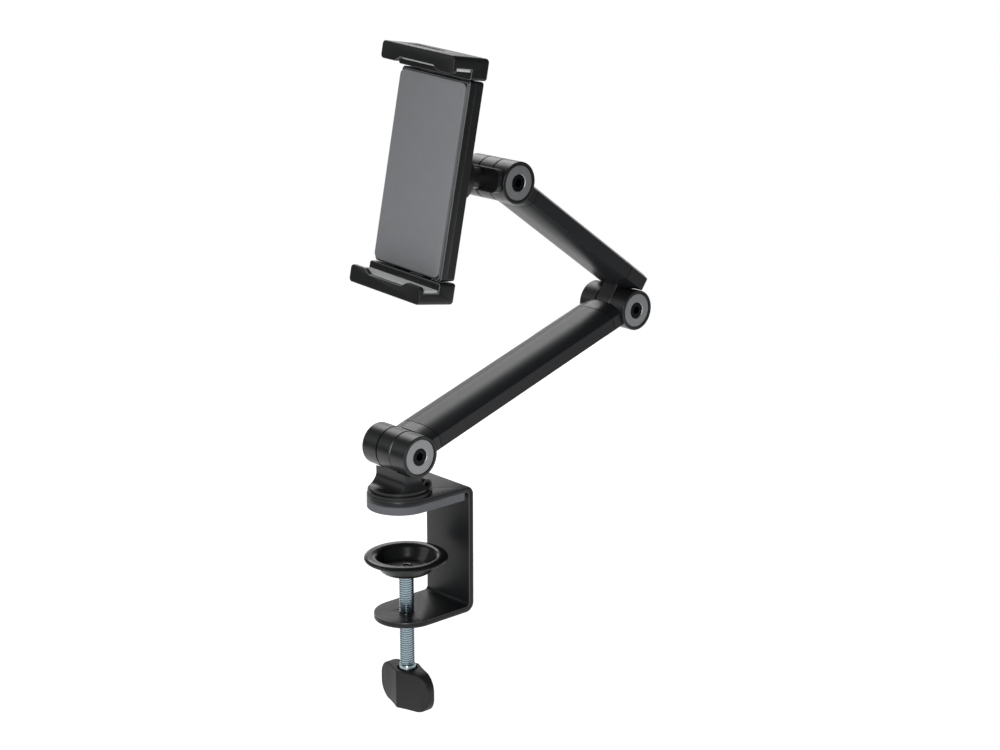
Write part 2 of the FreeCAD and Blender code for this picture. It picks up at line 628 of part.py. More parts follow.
def pressure_dish():
    """Pressed cup that the screw drives against the desk's underside."""
    piece = Piece("pressure_dish", screw_frame)
    hole = "screw_neck_radius + running_gap"
    under = "dish_floor_height - dish_sheet"
    flange_under = "dish_rim_height - dish_sheet"
    piece.turn("XZ_Plane", outline(
        (hole, under),
        ("dish_floor_radius + dish_sheet / 2", under),
        ("dish_mouth + dish_sheet", flange_under),
        ("dish_radius", flange_under),
        ("dish_radius", "dish_rim_height"),
        ("dish_mouth", "dish_rim_height"),
        ("dish_floor_radius", "dish_floor_height"),
        (hole, "dish_floor_height")))
    piece.round("dish_lip_round",
                round_edge("z", "dish_rim_height", "dish_radius"),
                round_edge("z", flange_under, "dish_radius"))


def clamp_screw():
    """Threaded rod: neck and spread end in the dish, collar and end in the knob."""
    piece = Piece("clamp_screw", screw_frame)
    under = "dish_floor_height - dish_sheet"
    rivet_top = "dish_floor_height + screw_rivet_height"
    tip = "knob_bottom + knob_floor"
    piece.turn("XZ_Plane", outline(
        ("0", tip),
        ("screw_radius", tip),
        ("screw_radius", "knob_top - knob_cup_deep"),
        ("collar_radius", "knob_top - knob_cup_deep"),
        ("collar_radius", "collar_top"),
        ("screw_radius", "collar_top"),
        ("screw_radius", under),
        ("screw_neck_radius", under),
        ("screw_neck_radius", "dish_floor_height"),
        ("screw_rivet_radius", "dish_floor_height"),
        ("screw_rivet_radius", "dish_floor_height + screw_rivet_height / 2"),
        ("screw_rivet_radius / 2", rivet_top),
        ("0", rivet_top)))


def wing_knob():
    """Moulded wing knob, thick in the middle, with two wings that thin towards round tips."""
    piece = Piece("wing_knob", knob_frame)
    inner = "(knob_half - knob_corner)"
    low = "(knob_bottom + knob_corner)"
    high = "(knob_top - knob_corner)"
    piece.add("XZ_Plane", [outline(
        ("-" + inner, "knob_bottom"), (inner, "knob_bottom", arc(inner, low, "ccw")),
        ("knob_half", low), ("knob_half", high, arc(inner, high, "ccw")),
        (inner, "knob_top"), ("-" + inner, "knob_top", arc("-" + inner, high, "ccw")),
        ("-knob_half", high), ("-knob_half", low, arc("-" + inner, low, "ccw")))],
        "-knob_hub_half", "knob_hub_half")
    beyond = "(knob_half + cut_margin)"
    for side, turn in (("", "ccw"), ("-", "cw")):
        tip = side + "knob_tip_half"
        outside = side + "(knob_hub_half + cut_margin)"
        away = side + "knob_hollow_away"
        piece.cut("XY_Plane", [outline(
            ("0", side + "knob_hub_half", arc("knob_hollow_side", away, turn)),
            ("knob_half", tip),
            (beyond, tip),
            (beyond, outside),
            ("-" + beyond, outside),
            ("-" + beyond, tip),
            ("-knob_half", tip, arc("-knob_hollow_side", away, turn)))],
            "knob_bottom - cut_margin", "knob_top + cut_margin")
    piece.round("knob_crease_round", straight("z", x="0", y="knob_hub_half"))
    piece.cut("XY_Plane", [circle("0", "0", "knob_cup_radius")],
              "knob_top - knob_cup_deep", "knob_top")
    piece.cut("XY_Plane", [circle("0", "0", "screw_radius + running_gap")],
              "knob_bottom + knob_floor", "knob_top")


def swivel_ring():
    """Plain bearing ring between the clamp and the post."""
    piece = Piece("swivel_ring")
    piece.add("XY_Plane", [circle("0", "0", "swivel_ring_radius"),
                           circle("0", "0", "swivel_bolt_radius + free_gap")],
              "plate_top", "ring_top")


def swivel_post():
    """Round post cut to two flats, hollowed for the arm's knuckles, with the middle eye."""
    piece = Piece("swivel_post")
    rise = "(flare_top - skirt_top)"
    step = "(skirt_radius - neck_radius)"
    flare = "((%s^2 + %s^2) / (2 * %s))" % (step, rise, step)
    piece.turn("XZ_Plane", outline(
        ("0", "ring_top"),
        ("skirt_radius", "ring_top"),
        ("skirt_radius", "skirt_top", arc("neck_radius + " + flare, "flare_top", "cw")),
        ("neck_radius", "flare_top"),
        ("neck_radius", "base_pivot_height"),
        ("0", "base_pivot_height")))
    side = "skirt_radius + cut_margin"
    above = "base_pivot_height + cut_margin"
    cove = outline(
        ("flat_half", above),
        ("flat_half", "skirt_top + cove_radius",
         arc("flat_half + cove_radius", "skirt_top + cove_radius", "ccw")),
        ("flat_half + cove_radius", "skirt_top"),
        (side, "skirt_top"),
        (side, above))
    piece.cut("YZ_Plane", [cove, mirrored(cove)], "-(" + side + ")", side)
    piece.cut("YZ_Plane", [circle("0", "base_pivot_height", "post_saddle_radius")],
              "-(" + side + ")", side)
    piece.add("YZ_Plane", [box("-flat_half", "flat_half", "skirt_top", "base_pivot_height")],
              "-eye_half", "eye_half")
    piece.add("YZ_Plane", [circle("0", "base_pivot_height", "knuckle_radius")],
              "-eye_half", "eye_half")
    piece.bevel("eye_bevel", round_edge("x", "eye_half", "knuckle_radius"))
    piece.add("YZ_Plane", [circle("lug_back", "lug_height", "lug_radius")], "0", "lug_reach")
    piece.cut("YZ_Plane", [circle("lug_back", "lug_height", "set_screw_radius + fitting_gap")],
              "lug_reach - set_screw_recess - set_screw_long", "lug_reach")
    piece.cut("YZ_Plane", [circle("0", "base_pivot_height", "hinge_bolt_radius + running_gap")],
              "-eye_half", "eye_half")
    piece.cut("XY_Plane", [circle("0", "0", "swivel_bolt_radius + fitting_gap")],
              "ring_top", "swivel_bolt_reach + fitting_gap")


def swivel_bolt():
    """Bolt from below: flat head in the pad's pocket, shank up into the post."""
    piece = Piece("swivel_bolt")
    seat = "desk_pad_thick - swivel_spring_thick"
    piece.add("XY_Plane", [circle("0", "0", "swivel_head_radius")],
              seat + " - swivel_head_tall", seat)
    piece.add("XY_Plane", [circle("0", "0", "swivel_bolt_radius")], seat, "swivel_bolt_reach")
    piece.cut("XY_Plane", [hexagon("0", "0", "hinge_socket_flats")],
              seat + " - swivel_head_tall", seat)


def swivel_spring_washer():
    """Spring washer that keeps the swivel stiff."""
    piece = Piece("swivel_spring_washer")
    piece.add("XY_Plane", [circle("0", "0", "swivel_head_radius"),
                           circle("0", "0", "swivel_bolt_radius + fitting_gap")],
              "desk_pad_thick - swivel_spring_thick", "desk_pad_thick")


def swivel_set_screw():
    """Headless screw in the lug, with a hexagon socket."""
    piece = Piece("swivel_set_screw")
    face = "lug_reach - set_screw_recess"
    piece.add("YZ_Plane", [circle("lug_back", "lug_height", "set_screw_radius")],
              face + " - set_screw_long", face)
    piece.cut("YZ_Plane", [hexagon("lug_back", "lug_height", "set_screw_socket")],
              face + " - set_screw_long / 2", face)


def fork(name, frame, seam):
    """Cast end of an arm: a tang in the tube, a block of the arm's section, two knuckles."""
    piece = Piece(name, frame)
    piece.add("XZ_Plane", [arm_section("0")], "0", seam)
    piece.add("XZ_Plane", [arm_section("tube_wall + fitting_gap")], seam, seam + " + tang_long")
    for low, high in (("knuckle_inner", "knuckle_end"), ("-knuckle_end", "-knuckle_inner")):
        piece.add("YZ_Plane", [circle("0", "0", "knuckle_radius")], low, high)
    piece.round("knuckle_round", round_edge("x", "knuckle_end", "knuckle_radius"))
    piece.cut("YZ_Plane", [circle("0", "0", "fork_slot_radius")],
              "-knuckle_inner", "knuckle_inner")
    piece.cut("YZ_Plane", [circle("0", "0", "hinge_bolt_radius + fitting_gap")],
              "-knuckle_end", "knuckle_end")
    for low, high in (("cap_seat", "knuckle_end"), ("-knuckle_end", "-cap_seat")):
        piece.cut("YZ_Plane", [circle("0", "0", "cap_radius + fitting_gap")], low, high)
    piece.cut("YZ_Plane", [circle("0", "0", "hinge_head_radius + fitting_gap")],
              "head_seat", "cap_seat")
    piece.cut("YZ_Plane", [hexagon("0", "0", "hinge_nut_flats + fitting_gap")],
              "-cap_seat", "-cap_seat + hinge_nut_tall")


def hinge_hardware(prefix, frame):
    """Bolt, nut, friction washers and ring caps of one hinge, all about its axis."""
    bolt = Piece(prefix + "_hinge_bolt", frame)
    bolt.add("YZ_Plane", [circle("0", "0", "hinge_head_radius")],
             "head_seat", "head_seat + hinge_head_tall")
    bolt.add("YZ_Plane", [circle("0", "0", "hinge_bolt_radius")], "-cap_seat", "head_seat")
    bolt.cut("YZ_Plane", [hexagon("0", "0", "hinge_socket_flats")],
             "head_seat + hinge_head_tall - hinge_socket_deep", "head_seat + hinge_head_tall")
    nut = Piece(prefix + "_hinge_nut", frame)
    nut.add("YZ_Plane", [hexagon("0", "0", "hinge_nut_flats"),
                         circle("0", "0", "hinge_bolt_radius + running_gap")],
            "-cap_seat", "-cap_seat + hinge_nut_tall")
    shims = Piece(prefix + "_hinge_washers", frame)
    caps = Piece(prefix + "_hinge_caps", frame)
    for side in ("", "-"):
        inner, outer = side + "eye_half", side + "knuckle_inner"
        low, high = (inner, outer) if side == "" else (outer, inner)
        shims.add("YZ_Plane", [circle("0", "0", "shim_radius"),
                               circle("0", "0", "hinge_bolt_radius + fitting_gap")], low, high)
        inner, outer = side + "cap_seat", side + "(cap_seat + cap_thick)"
        low, high = (inner, outer) if side == "" else (outer, inner)
        caps.add("YZ_Plane", [circle("0", "0", "cap_radius"),
                              circle("0", "0", "cap_hole_radius")], low, high)
    caps.bevel("cap_bevel", round_edge("x", "cap_seat + cap_thick", "cap_radius"),
               round_edge("x", "cap_seat + cap_thick", "cap_hole_radius"))


def arm_tube(name, frame, low, high):
    """Hollow extrusion, flat-sided and domed, between two cast ends."""
    piece = Piece(name, frame)
    piece.add("XZ_Plane", [arm_section("0"), arm_section("tube_wall")], low, high)


def elbow_yoke():
    """Cast end of the upper arm, with the elbow's middle eye hanging below it."""
    piece = Piece("upper_arm_elbow_yoke", upper_frame)
    piece.add("XZ_Plane", [arm_section("0")], "yoke_start", "yoke_seam")
    piece.round("yoke_round", in_plane("y", "yoke_start"))
    piece.add("XZ_Plane", [arm_section("tube_wall + fitting_gap")],
              "yoke_seam", "yoke_seam + tang_long")
    for low, high in (("eye_half", "arm_half + cut_margin"),
                      ("-arm_half - cut_margin", "-eye_half")):
        piece.cut("YZ_Plane", [circle("0", "upper_offset", "eye_saddle_radius")], low, high)
    piece.add("YZ_Plane", [box("yoke_start", "knuckle_radius", "0", "upper_offset")],
              "-eye_half", "eye_half")
    piece.add("YZ_Plane", [circle("0", "upper_offset", "knuckle_radius")],
              "-eye_half", "eye_half")
    piece.bevel("eye_bevel", round_edge("x", "eye_half", "knuckle_radius"))
    piece.cut("YZ_Plane", [circle("0", "upper_offset", "hinge_bolt_radius + running_gap")],
              "-eye_half", "eye_half")


def head_stem():
    """Middle eye of the head hinge, a crossbar in front of it and a round neck."""
    piece = Piece("head_stem", stem_frame)
    piece.add("XZ_Plane", [rounded_box("bar_half", "bar_half_thick", "bar_corner")],
              "-bar_reach", "0")
    piece.cut("XZ_Plane", [rounded_box("bar_half - bar_rim", "bar_half_thick - bar_rim",
                                       "bar_corner - bar_rim")],
              "-bar_reach", "-bar_reach + bar_dish")
    for low, high in (("eye_half", "bar_half + cut_margin"),
                      ("-bar_half - cut_margin", "-eye_half")):
        piece.cut("YZ_Plane", [circle("0", "0", "eye_saddle_radius")], low, high)
    piece.add("YZ_Plane", [circle("0", "0", "knuckle_radius")], "-eye_half", "eye_half")
    piece.bevel("eye_bevel", round_edge("x", "eye_half", "knuckle_radius"))
    piece.add("XZ_Plane", [circle("0", "0", "stem_radius")],
              "-hub_start + hub_shim_thick", "-bar_reach + bar_dish")
    piece.cut("YZ_Plane", [circle("0", "0", "hinge_bolt_radius + running_gap")],
              "-eye_half", "eye_half")
    piece.cut("XZ_Plane", [circle("0", "0", "pivot_radius + fitting_gap")],
              "-hub_start", "-hub_start + pivot_depth + fitting_gap")


def holder_pivot():
    """Bolt and washers that hold the holder's hub on the stem and let it turn."""
    washer = Piece("hub_friction_washer", stem_frame)
    washer.add("XZ_Plane", [circle("0", "0", "hub_shim_radius"),
                            circle("0", "0", "pivot_radius + fitting_gap")],
               "-hub_start", "-hub_start + hub_shim_thick")
    inner_face = "-hub_start - hub_floor"
    spring = Piece("hub_spring_washer", stem_frame)
    spring.add("XZ_Plane", [circle("0", "0", "pivot_spring_radius"),
                            circle("0", "0", "pivot_radius + fitting_gap")],
               inner_face + " - pivot_spring_thick", inner_face)
    head = inner_face + " - pivot_spring_thick"
    bolt = Piece("hub_pivot_bolt", stem_frame)
    bolt.add("XZ_Plane", [circle("0", "0", "pivot_head_radius")],
             head + " - pivot_head_tall", head)
    bolt.add("XZ_Plane", [circle("0", "0", "pivot_radius")], head, "-hub_start + pivot_depth")
    bolt.cut("XZ_Plane", [hexagon("0", "0", "pivot_socket_flats")],
             head + " - pivot_head_tall", head + " - pivot_head_tall / 2")


def holder_rest():
    """Thin grey rubber rest glued to the front shell."""
    piece = Piece("holder_rest_pad", holder_frame)
    piece.add("XZ_Plane", [rounded_box("rest_half", "rest_tall", "rest_corner")],
              "0", "rest_thick")


def mouths(piece, low, high):
    """Opens a shell's two end walls where the slides pass."""
    for near, far in (("case_tall - case_wall - cut_margin", "case_tall + cut_margin"),
                      ("-case_tall - cut_margin", "-case_tall + case_wall + cut_margin")):
        piece.cut("XZ_Plane", [box("-mouth_half", "mouth_half", near, far)], low, high)


def screw_posts():
    """The four places on the holder's middle line where the shells are screwed together."""
    return ["post_near", "-post_near", "post_far", "-post_far"]


def front_shell():
    """Front half of the holder's case, with the posts for the shell screws."""
    piece = Piece("holder_front_shell", holder_frame)
    piece.add("XZ_Plane", [box("-case_half", "case_half", "-case_tall", "case_tall")],
              "case_front", "case_split")
    piece.round("case_corner", straight("y", x="case_half", z="case_tall"))
    piece.bevel("case_bevel", in_plane("y", "case_front"))
    piece.cut("XZ_Plane", [box("-case_half + case_wall", "case_half - case_wall",
                               "-case_tall + case_wall", "case_tall - case_wall")],
              "case_front + case_wall", "case_split")
    mouths(piece, "slide_front - free_gap", "case_split")
    piece.add("XZ_Plane", [circle("0", height, "post_radius") for height in screw_posts()],
              "case_front + case_wall", "case_back - case_wall")
    piece.cut("XZ_Plane", [circle("0", height, "case_screw_radius + fitting_gap")
                           for height in screw_posts()],
              "case_back - case_screw_long - fitting_gap", "case_back - case_wall")


def back_shell():
    """Back half of the case, with guide ribs for the rails and pegs for the springs."""
    piece = Piece("holder_back_shell", holder_frame)
    piece.add("XZ_Plane", [box("-case_half", "case_half", "-case_tall", "case_tall")],
              "case_split", "case_back")
    piece.round("case_corner", straight("y", x="case_half", z="case_tall"))
    piece.round("hub_round", in_plane("y", "case_back"))
    inside = "case_back - case_wall"
    piece.cut("XZ_Plane", [box("-case_half + case_wall", "case_half - case_wall",
                               "-case_tall + case_wall", "case_tall - case_wall")],
              "case_split", inside)
    mouths(piece, "case_split", "slide_back + free_gap")
    for side in ("guide_middle", "-guide_middle"):
        piece.add("XZ_Plane", [box(side + " - guide_half", side + " + guide_half",
                                   "-guide_tall", "guide_tall")], "slide_front", inside)
    for side, height in (("tongue_side", "-spring_peg"), ("-tongue_side", "spring_peg")):
        piece.add("XZ_Plane", [circle(side, height, "spring_peg_radius")],
                  "slide_middle - spring_radius", inside)
    piece.cut("XZ_Plane", [circle("0", height, "case_screw_radius + fitting_gap")
                           for height in screw_posts()], inside, "case_back")
    piece.cut("XZ_Plane", [circle(x, z, "hub_screw_radius + fitting_gap")
                           for x, z in hub_screw_places()], inside, "case_back")


def hub_screw_places():
    """The four hub screws, about the axis that the holder turns on."""
    return [("hub_screw_spread", "-holder_rise"), ("-hub_screw_spread", "-holder_rise"),
            ("0", "hub_screw_spread - holder_rise"), ("0", "-hub_screw_spread - holder_rise")]


def holder_hub():
    """Round hub behind the case, cupped for the pivot bolt's head."""
    piece = Piece("holder_hub", holder_frame)
    end = "holder_reach - hub_start"
    piece.add("XZ_Plane", [circle("0", "-holder_rise", "hub_radius")], "case_back", end)
    piece.round("hub_round", round_edge("y", end, "hub_radius"))
    piece.cut("XZ_Plane", [circle("0", "-holder_rise", "hub_bore")],
              "case_back", end + " - hub_floor")
    piece.cut("XZ_Plane", [circle("0", "-holder_rise", "pivot_radius + running_gap")],
              end + " - hub_floor", end)
    piece.cut("XZ_Plane", [circle(x, z, "hub_screw_radius + fitting_gap")
                           for x, z in hub_screw_places()],
              "case_back", "case_back - case_wall + hub_screw_long + fitting_gap")


def hub_screws():
    """Four screws from inside the case into the hub."""
    piece = Piece("hub_screws", holder_frame)
    seat = "case_back - case_wall"
    piece.add("XZ_Plane", [circle(x, z, "hub_screw_head") for x, z in hub_screw_places()],
              seat + " - hub_screw_tall", seat)
    piece.add("XZ_Plane", [circle(x, z, "hub_screw_radius") for x, z in hub_screw_places()],
              seat, seat + " + hub_screw_long")


def shell_screws():
    """Four pan-headed screws through the back shell into the front shell's posts."""
    piece = Piece("holder_shell_screws", holder_frame)
    piece.add("XZ_Plane", [circle("0", height, "case_screw_radius")
                           for height in screw_posts()],
              "case_back - case_screw_long", "case_back")
    piece.add("XZ_Plane", [circle("0", height, "case_screw_head") for height in screw_posts()],
              "case_back", "case_back + case_screw_tall")


def jaw(name, frame):
    """Moulded jaw: a block on the slide, a bridge over the tablet's edge and a notched lip."""
    piece = Piece(name, frame)
    lip_back = "(lip_thick - lip_front)"
    piece.add("YZ_Plane", [outline(
        ("jaw_back", "jaw_start"),
        ("jaw_back", "jaw_end"),
        ("-lip_front", "jaw_end"),
        ("-lip_front", "lip_tab"),
        (lip_back, "lip_tab"),
        (lip_back, "jaw_roof"),
        ("jaw_step", "jaw_roof"),
        ("jaw_step", "jaw_start"))], "-jaw_half", "jaw_half")
    piece.round("jaw_corner",
                straight("y", x="jaw_half", z="jaw_end"),
                straight("y", x="jaw_half", z="lip_tab"))
    piece.round("jaw_front_round", straight("x", y="lip_front", z="jaw_end"))
    piece.round("jaw_back_round", straight("x", y="jaw_back", z="jaw_end"))
    piece.round("jaw_inner_round",
                straight("x", y="jaw_back", z="jaw_start"),
                straight("y", x="jaw_half", z="jaw_start"))
    piece.cut("XZ_Plane", [outline(
        ("-lip_notch_outer", "lip_tab"),
        ("-lip_notch_outer", "lip_tab - cut_margin"),
        ("lip_notch_outer", "lip_tab - cut_margin"),
        ("lip_notch_outer", "lip_tab"),
        ("lip_notch_inner", "lip_floor"),
        ("-lip_notch_inner", "lip_floor"))], "-lip_front", lip_back)
    piece.cut("XY_Plane", [box("jaw_slot_side - jaw_slot_half", "jaw_slot_side + jaw_slot_half",
                               "-jaw_slot_front", "jaw_slot_wide - jaw_slot_front")],
              "jaw_end - jaw_slot_deep", "jaw_end")
    piece.cut("XZ_Plane", [box("-mouth_half", "mouth_half", "jaw_start",
                               "slide_end + free_gap")],
              "slide_front - fitting_gap", "slide_back + fitting_gap")
    for side in ("jaw_screw_side", "-jaw_screw_side"):
        piece.cut("XZ_Plane", [circle(side, "jaw_screw_height",
                                      "jaw_screw_radius + fitting_gap")],
                  "jaw_screw_tip - fitting_gap", "jaw_back")
        piece.cut("XZ_Plane", [circle(side, "jaw_screw_height", "jaw_screw_head + fitting_gap")],
                  "jaw_back - jaw_screw_tall", "jaw_back")


def jaw_liner(name, frame):
    """Rubber strip under the jaw's bridge, between the lip and the block."""
    piece = Piece(name, frame)
    piece.add("XZ_Plane", [box("-liner_half", "liner_half", "jaw_roof - liner_thick",
                               "jaw_roof")],
              "lip_thick - lip_front + fitting_gap", "jaw_step - fitting_gap")


def jaw_slide(name, frame, rail):
    """Steel slide: a bar inside the jaw, two rails and the tongue that the spring pulls."""
    piece = Piece(name, frame)
    piece.add("XZ_Plane", [box("-wide_rail - rail_half", "wide_rail + rail_half",
                               "slide_start", "slide_end")], "slide_front", "slide_back")
    for side in (rail, "-" + rail):
        piece.add("XZ_Plane", [box(side + " - rail_half", side + " + rail_half",
                                   "-rail_tip", "slide_start")], "slide_front", "slide_back")
    piece.add("XZ_Plane", [box("tongue_side - tongue_half", "tongue_side + tongue_half",
                               "tongue_tip", "slide_start")], "slide_front", "slide_back")
    piece.cut("XZ_Plane", [circle(side, "jaw_screw_height", "jaw_screw_radius + fitting_gap")
                           for side in ("jaw_screw_side", "-jaw_screw_side")],
              "slide_front", "slide_back")


def jaw_screws(name, frame):
    """Two screws from behind that hold the jaw on its slide."""
    piece = Piece(name, frame)
    sides = ("jaw_screw_side", "-jaw_screw_side")
    piece.add("XZ_Plane", [circle(side, "jaw_screw_height", "jaw_screw_radius")
                           for side in sides], "jaw_screw_tip", "jaw_back - jaw_screw_tall")
    piece.add("XZ_Plane", [circle(side, "jaw_screw_height", "jaw_screw_head")
                           for side in sides], "jaw_back - jaw_screw_tall", "jaw_back")


def coil(name, side, flip):
    """One stretched coil spring, from its peg to just short of its tongue."""
    helix = doc.addObject("Part::Helix", name + "_path")
    helix.setExpression("Radius", bound("spring_radius"))
    helix.setExpression("Pitch", bound("spring_pitch"))
    helix.setExpression("Height", bound(
        "spring_peg - spring_peg_radius + tongue_tip - 2 * free_gap - 2 * spring_wire"))
    wire = doc.addObject("Part::Circle", name + "_section")
    wire.setExpression("Radius", bound("spring_wire"))
    wire.Placement = FreeCAD.Placement(FreeCAD.Vector(number("spring_radius"), 0, 0),
                                       FreeCAD.Rotation(ALONG_X, 90))
    wire.setExpression("Placement.Base.x", bound("spring_radius"))
    swept = doc.addObject("Part::Sweep", name)
    swept.Sections = [wire]
    swept.Spine = (helix, [])
    swept.Solid = True
    swept.Frenet = True
    start = "-spring_peg + spring_peg_radius + free_gap + spring_wire"
    swept.Placement = flip * at(side, "slide_middle", start)
    return swept


def jaw_springs():
    """Two tension springs that draw the jaws together."""
    group = doc.addObject("Part::Compound", "jaw_springs")
    group.Label = "jaw_springs"
    group.Links = [coil("upper_spring", "tongue_side", row_frame),
                   coil("lower_spring", "tongue_side",
                        FreeCAD.Placement(FreeCAD.Vector(), FreeCAD.Rotation(ALONG_Y, 180)))]
    group.Placement = holder_frame
    pieces.append(group)


clamp_bracket()
desk_pad()
pressure_dish()
clamp_screw()
wing_knob()
swivel_ring()
swivel_post()
swivel_bolt()
swivel_spring_washer()
swivel_set_screw()
fork("lower_arm_base_fork", lower_frame, "base_seam")
arm_tube("lower_arm_tube", lower_frame, "base_seam + seam_gap",
         "lower_length - elbow_seam - seam_gap")
fork("lower_arm_elbow_fork", elbow_fork_frame, "elbow_seam")
elbow_yoke()
arm_tube("upper_arm_tube", upper_frame, "yoke_seam + seam_gap",
         "upper_length - head_seam - seam_gap")
fork("upper_arm_head_fork", head_fork_frame, "head_seam")
for hinge, hinge_frame in (("base", lower_frame), ("elbow", elbow_frame), ("head", head_frame)):
    hinge_hardware(hinge, hinge_frame)
head_stem()
holder_pivot()
holder_rest()
front_shell()
back_shell()
holder_hub()
hub_screws()
shell_screws()
jaw_springs()
for jaw_name, jaw_frame, jaw_rail in (("upper_jaw", holder_frame, "wide_rail"),
                                      ("lower_jaw", lower_jaw_frame, "narrow_rail")):
    jaw(jaw_name, jaw_frame)
    jaw_liner(jaw_name + "_liner", jaw_frame)
    jaw_slide(jaw_name + "_slide", jaw_frame, jaw_rail)
    jaw_screws(jaw_name + "_screws", jaw_frame)

doc.recompute()
for item in doc.Objects:
    if "Invalid" in item.State or "Error" in item.State:
        raise ValueError("%s failed: %s" % (item.Label, item.State))

os.makedirs("parts", exist_ok=True)
for item in pieces:
    if item.Shape.isNull() or not item.Shape.isValid():
        raise ValueError("%s has no valid shape" % item.Label)
    item.Shape.exportStep("parts/%s.step" % item.Label)
    print("%-24s %2d solids %10.1f mm3" % (item.Label, len(item.Shape.Solids),
                                           item.Shape.Volume))
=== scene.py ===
# %% [markdown]
# A desk mount for a tablet, dressed for its portrait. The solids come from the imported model, in
# metres and in one shared frame: X runs along the hinge axes, the holder faces -Y, and Z is up.
# This lesson gives each solid the finish of its real material, and models afresh the few pieces
# whose detail a plain solid leaves out.

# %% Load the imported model
import json
import math
import bpy
from mathutils import Matrix, Vector


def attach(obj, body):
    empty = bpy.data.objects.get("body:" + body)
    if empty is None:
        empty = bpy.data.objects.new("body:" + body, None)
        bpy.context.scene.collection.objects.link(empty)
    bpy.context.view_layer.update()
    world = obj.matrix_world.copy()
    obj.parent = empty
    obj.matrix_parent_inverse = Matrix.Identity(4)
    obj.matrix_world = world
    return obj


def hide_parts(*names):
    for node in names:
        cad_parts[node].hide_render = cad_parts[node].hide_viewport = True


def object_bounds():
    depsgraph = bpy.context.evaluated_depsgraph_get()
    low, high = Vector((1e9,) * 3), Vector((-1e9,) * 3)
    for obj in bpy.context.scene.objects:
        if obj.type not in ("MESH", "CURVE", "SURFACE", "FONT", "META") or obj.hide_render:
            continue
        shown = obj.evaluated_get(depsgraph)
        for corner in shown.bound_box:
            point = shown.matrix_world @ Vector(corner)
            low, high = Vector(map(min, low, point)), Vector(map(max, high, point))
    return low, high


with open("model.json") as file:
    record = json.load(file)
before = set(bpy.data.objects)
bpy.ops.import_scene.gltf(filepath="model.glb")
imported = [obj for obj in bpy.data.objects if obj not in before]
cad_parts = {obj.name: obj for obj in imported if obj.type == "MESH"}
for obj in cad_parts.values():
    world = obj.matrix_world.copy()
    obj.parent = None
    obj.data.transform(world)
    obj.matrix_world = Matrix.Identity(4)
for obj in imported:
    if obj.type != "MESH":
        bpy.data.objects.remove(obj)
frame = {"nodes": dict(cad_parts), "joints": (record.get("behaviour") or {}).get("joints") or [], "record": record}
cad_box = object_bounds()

# %% [markdown]
# The photograph was taken from in front and from the right, a little above the mount. A camera
# could be set by eye, but this one was fitted to the mount's edges, so that the render can be
# laid over the photograph. Depth of field stays off, as in a catalogue picture, where every edge
# is sharp.

# %% Place the camera
AZIMUTH, ELEVATION = math.radians(47.8), math.radians(15.96)
camera_data = bpy.data.cameras.new("camera")
camera_data.lens, camera_data.sensor_width = 78.32, 36
camera_data.clip_start, camera_data.clip_end = 0.01, 100
camera = bpy.data.objects.new("camera", camera_data)
bpy.context.scene.collection.objects.link(camera)
camera.location = (0.81126, -0.66680, 0.36882)
behind = Vector((math.sin(AZIMUTH) * math.cos(ELEVATION),
                 -math.cos(AZIMUTH) * math.cos(ELEVATION), math.sin(ELEVATION)))
camera.rotation_mode = "QUATERNION"
camera.rotation_quaternion = (-behind).to_track_quat("-Z", "Y")
bpy.context.scene.camera = camera
print("camera stands %.2f m from the swivel" % camera.location.length)

# %% [markdown]
# A black object shows its shape only through what it reflects. So each panel of soft light hangs
# where a surface mirrors it towards the camera: a low one behind the mount for the faces that
# look up, and a high one behind on the left for the lower arm's dome. A narrow, bright one in
# front on the right draws the thin lines along the upright edges, and lights the dish's bowl.
# The broad key panel in front on the left is there for the grey rubber. A lamp would give hard
# spots instead, and one big panel would turn the flat faces grey.

# %% Light the studio
TARGET = Vector((0, 0.06, 0.05))


def softbox(name, place, width, height, glow):
    """Hangs one panel that faces the mount. Its glow is its brightness, where 1 is paper white."""
    data = bpy.data.lights.new(name, "AREA")
    data.shape, data.size, data.size_y = "RECTANGLE", width, height
    data.energy = glow * math.pi * width * height
    panel = bpy.data.objects.new(name, data)
    bpy.context.scene.collection.objects.link(panel)
    panel.visible_camera = False
    panel.location = place
    panel.rotation_mode = "QUATERNION"
    panel.rotation_quaternion = (Vector(place) - TARGET).to_track_quat("Z", "Y")
    print(name, "panel of %.1f W" % data.energy)


softbox("backdrop", (-1.26, 1.20, 0.20), width=2.2, height=0.55, glow=1.1)
softbox("high", (-0.93, 0.53, 0.83), width=0.75, height=0.6, glow=3.7)
softbox("key", (-0.75, -1.10, 0.75), width=0.9, height=0.9, glow=1.3)
softbox("front", (0.98, -1.02, 0.42), width=0.3, height=1.1, glow=12.0)

# %% [markdown]
# The camera sees a white wall, but the mount has to reflect a dim room, or its flat faces would
# not stay black. A real wall could be built far behind it. Here the world is both: a Light Path
# node gives the camera's own rays the wall, and all other rays the room. One small function adds
# a node with its settings and its links, and every material below is made with it too.

# %% Dim the room
WHITE = (1, 1, 1, 1)
ROOM_GLOW, WALL_GLOW = 0.16, 1.0


def add(owner, kind, inputs=(), **settings):
    """Adds one node. An input is found by name or number, and linked where it gets a socket."""
    made = owner.node_tree.nodes.new(kind)
    for name, value in settings.items():
        setattr(made, name, value)
    for name, value in dict(inputs).items():
        if isinstance(value, bpy.types.NodeSocket):
            owner.node_tree.links.new(value, made.inputs[name])
        else:
            made.inputs[name].default_value = value
    return made


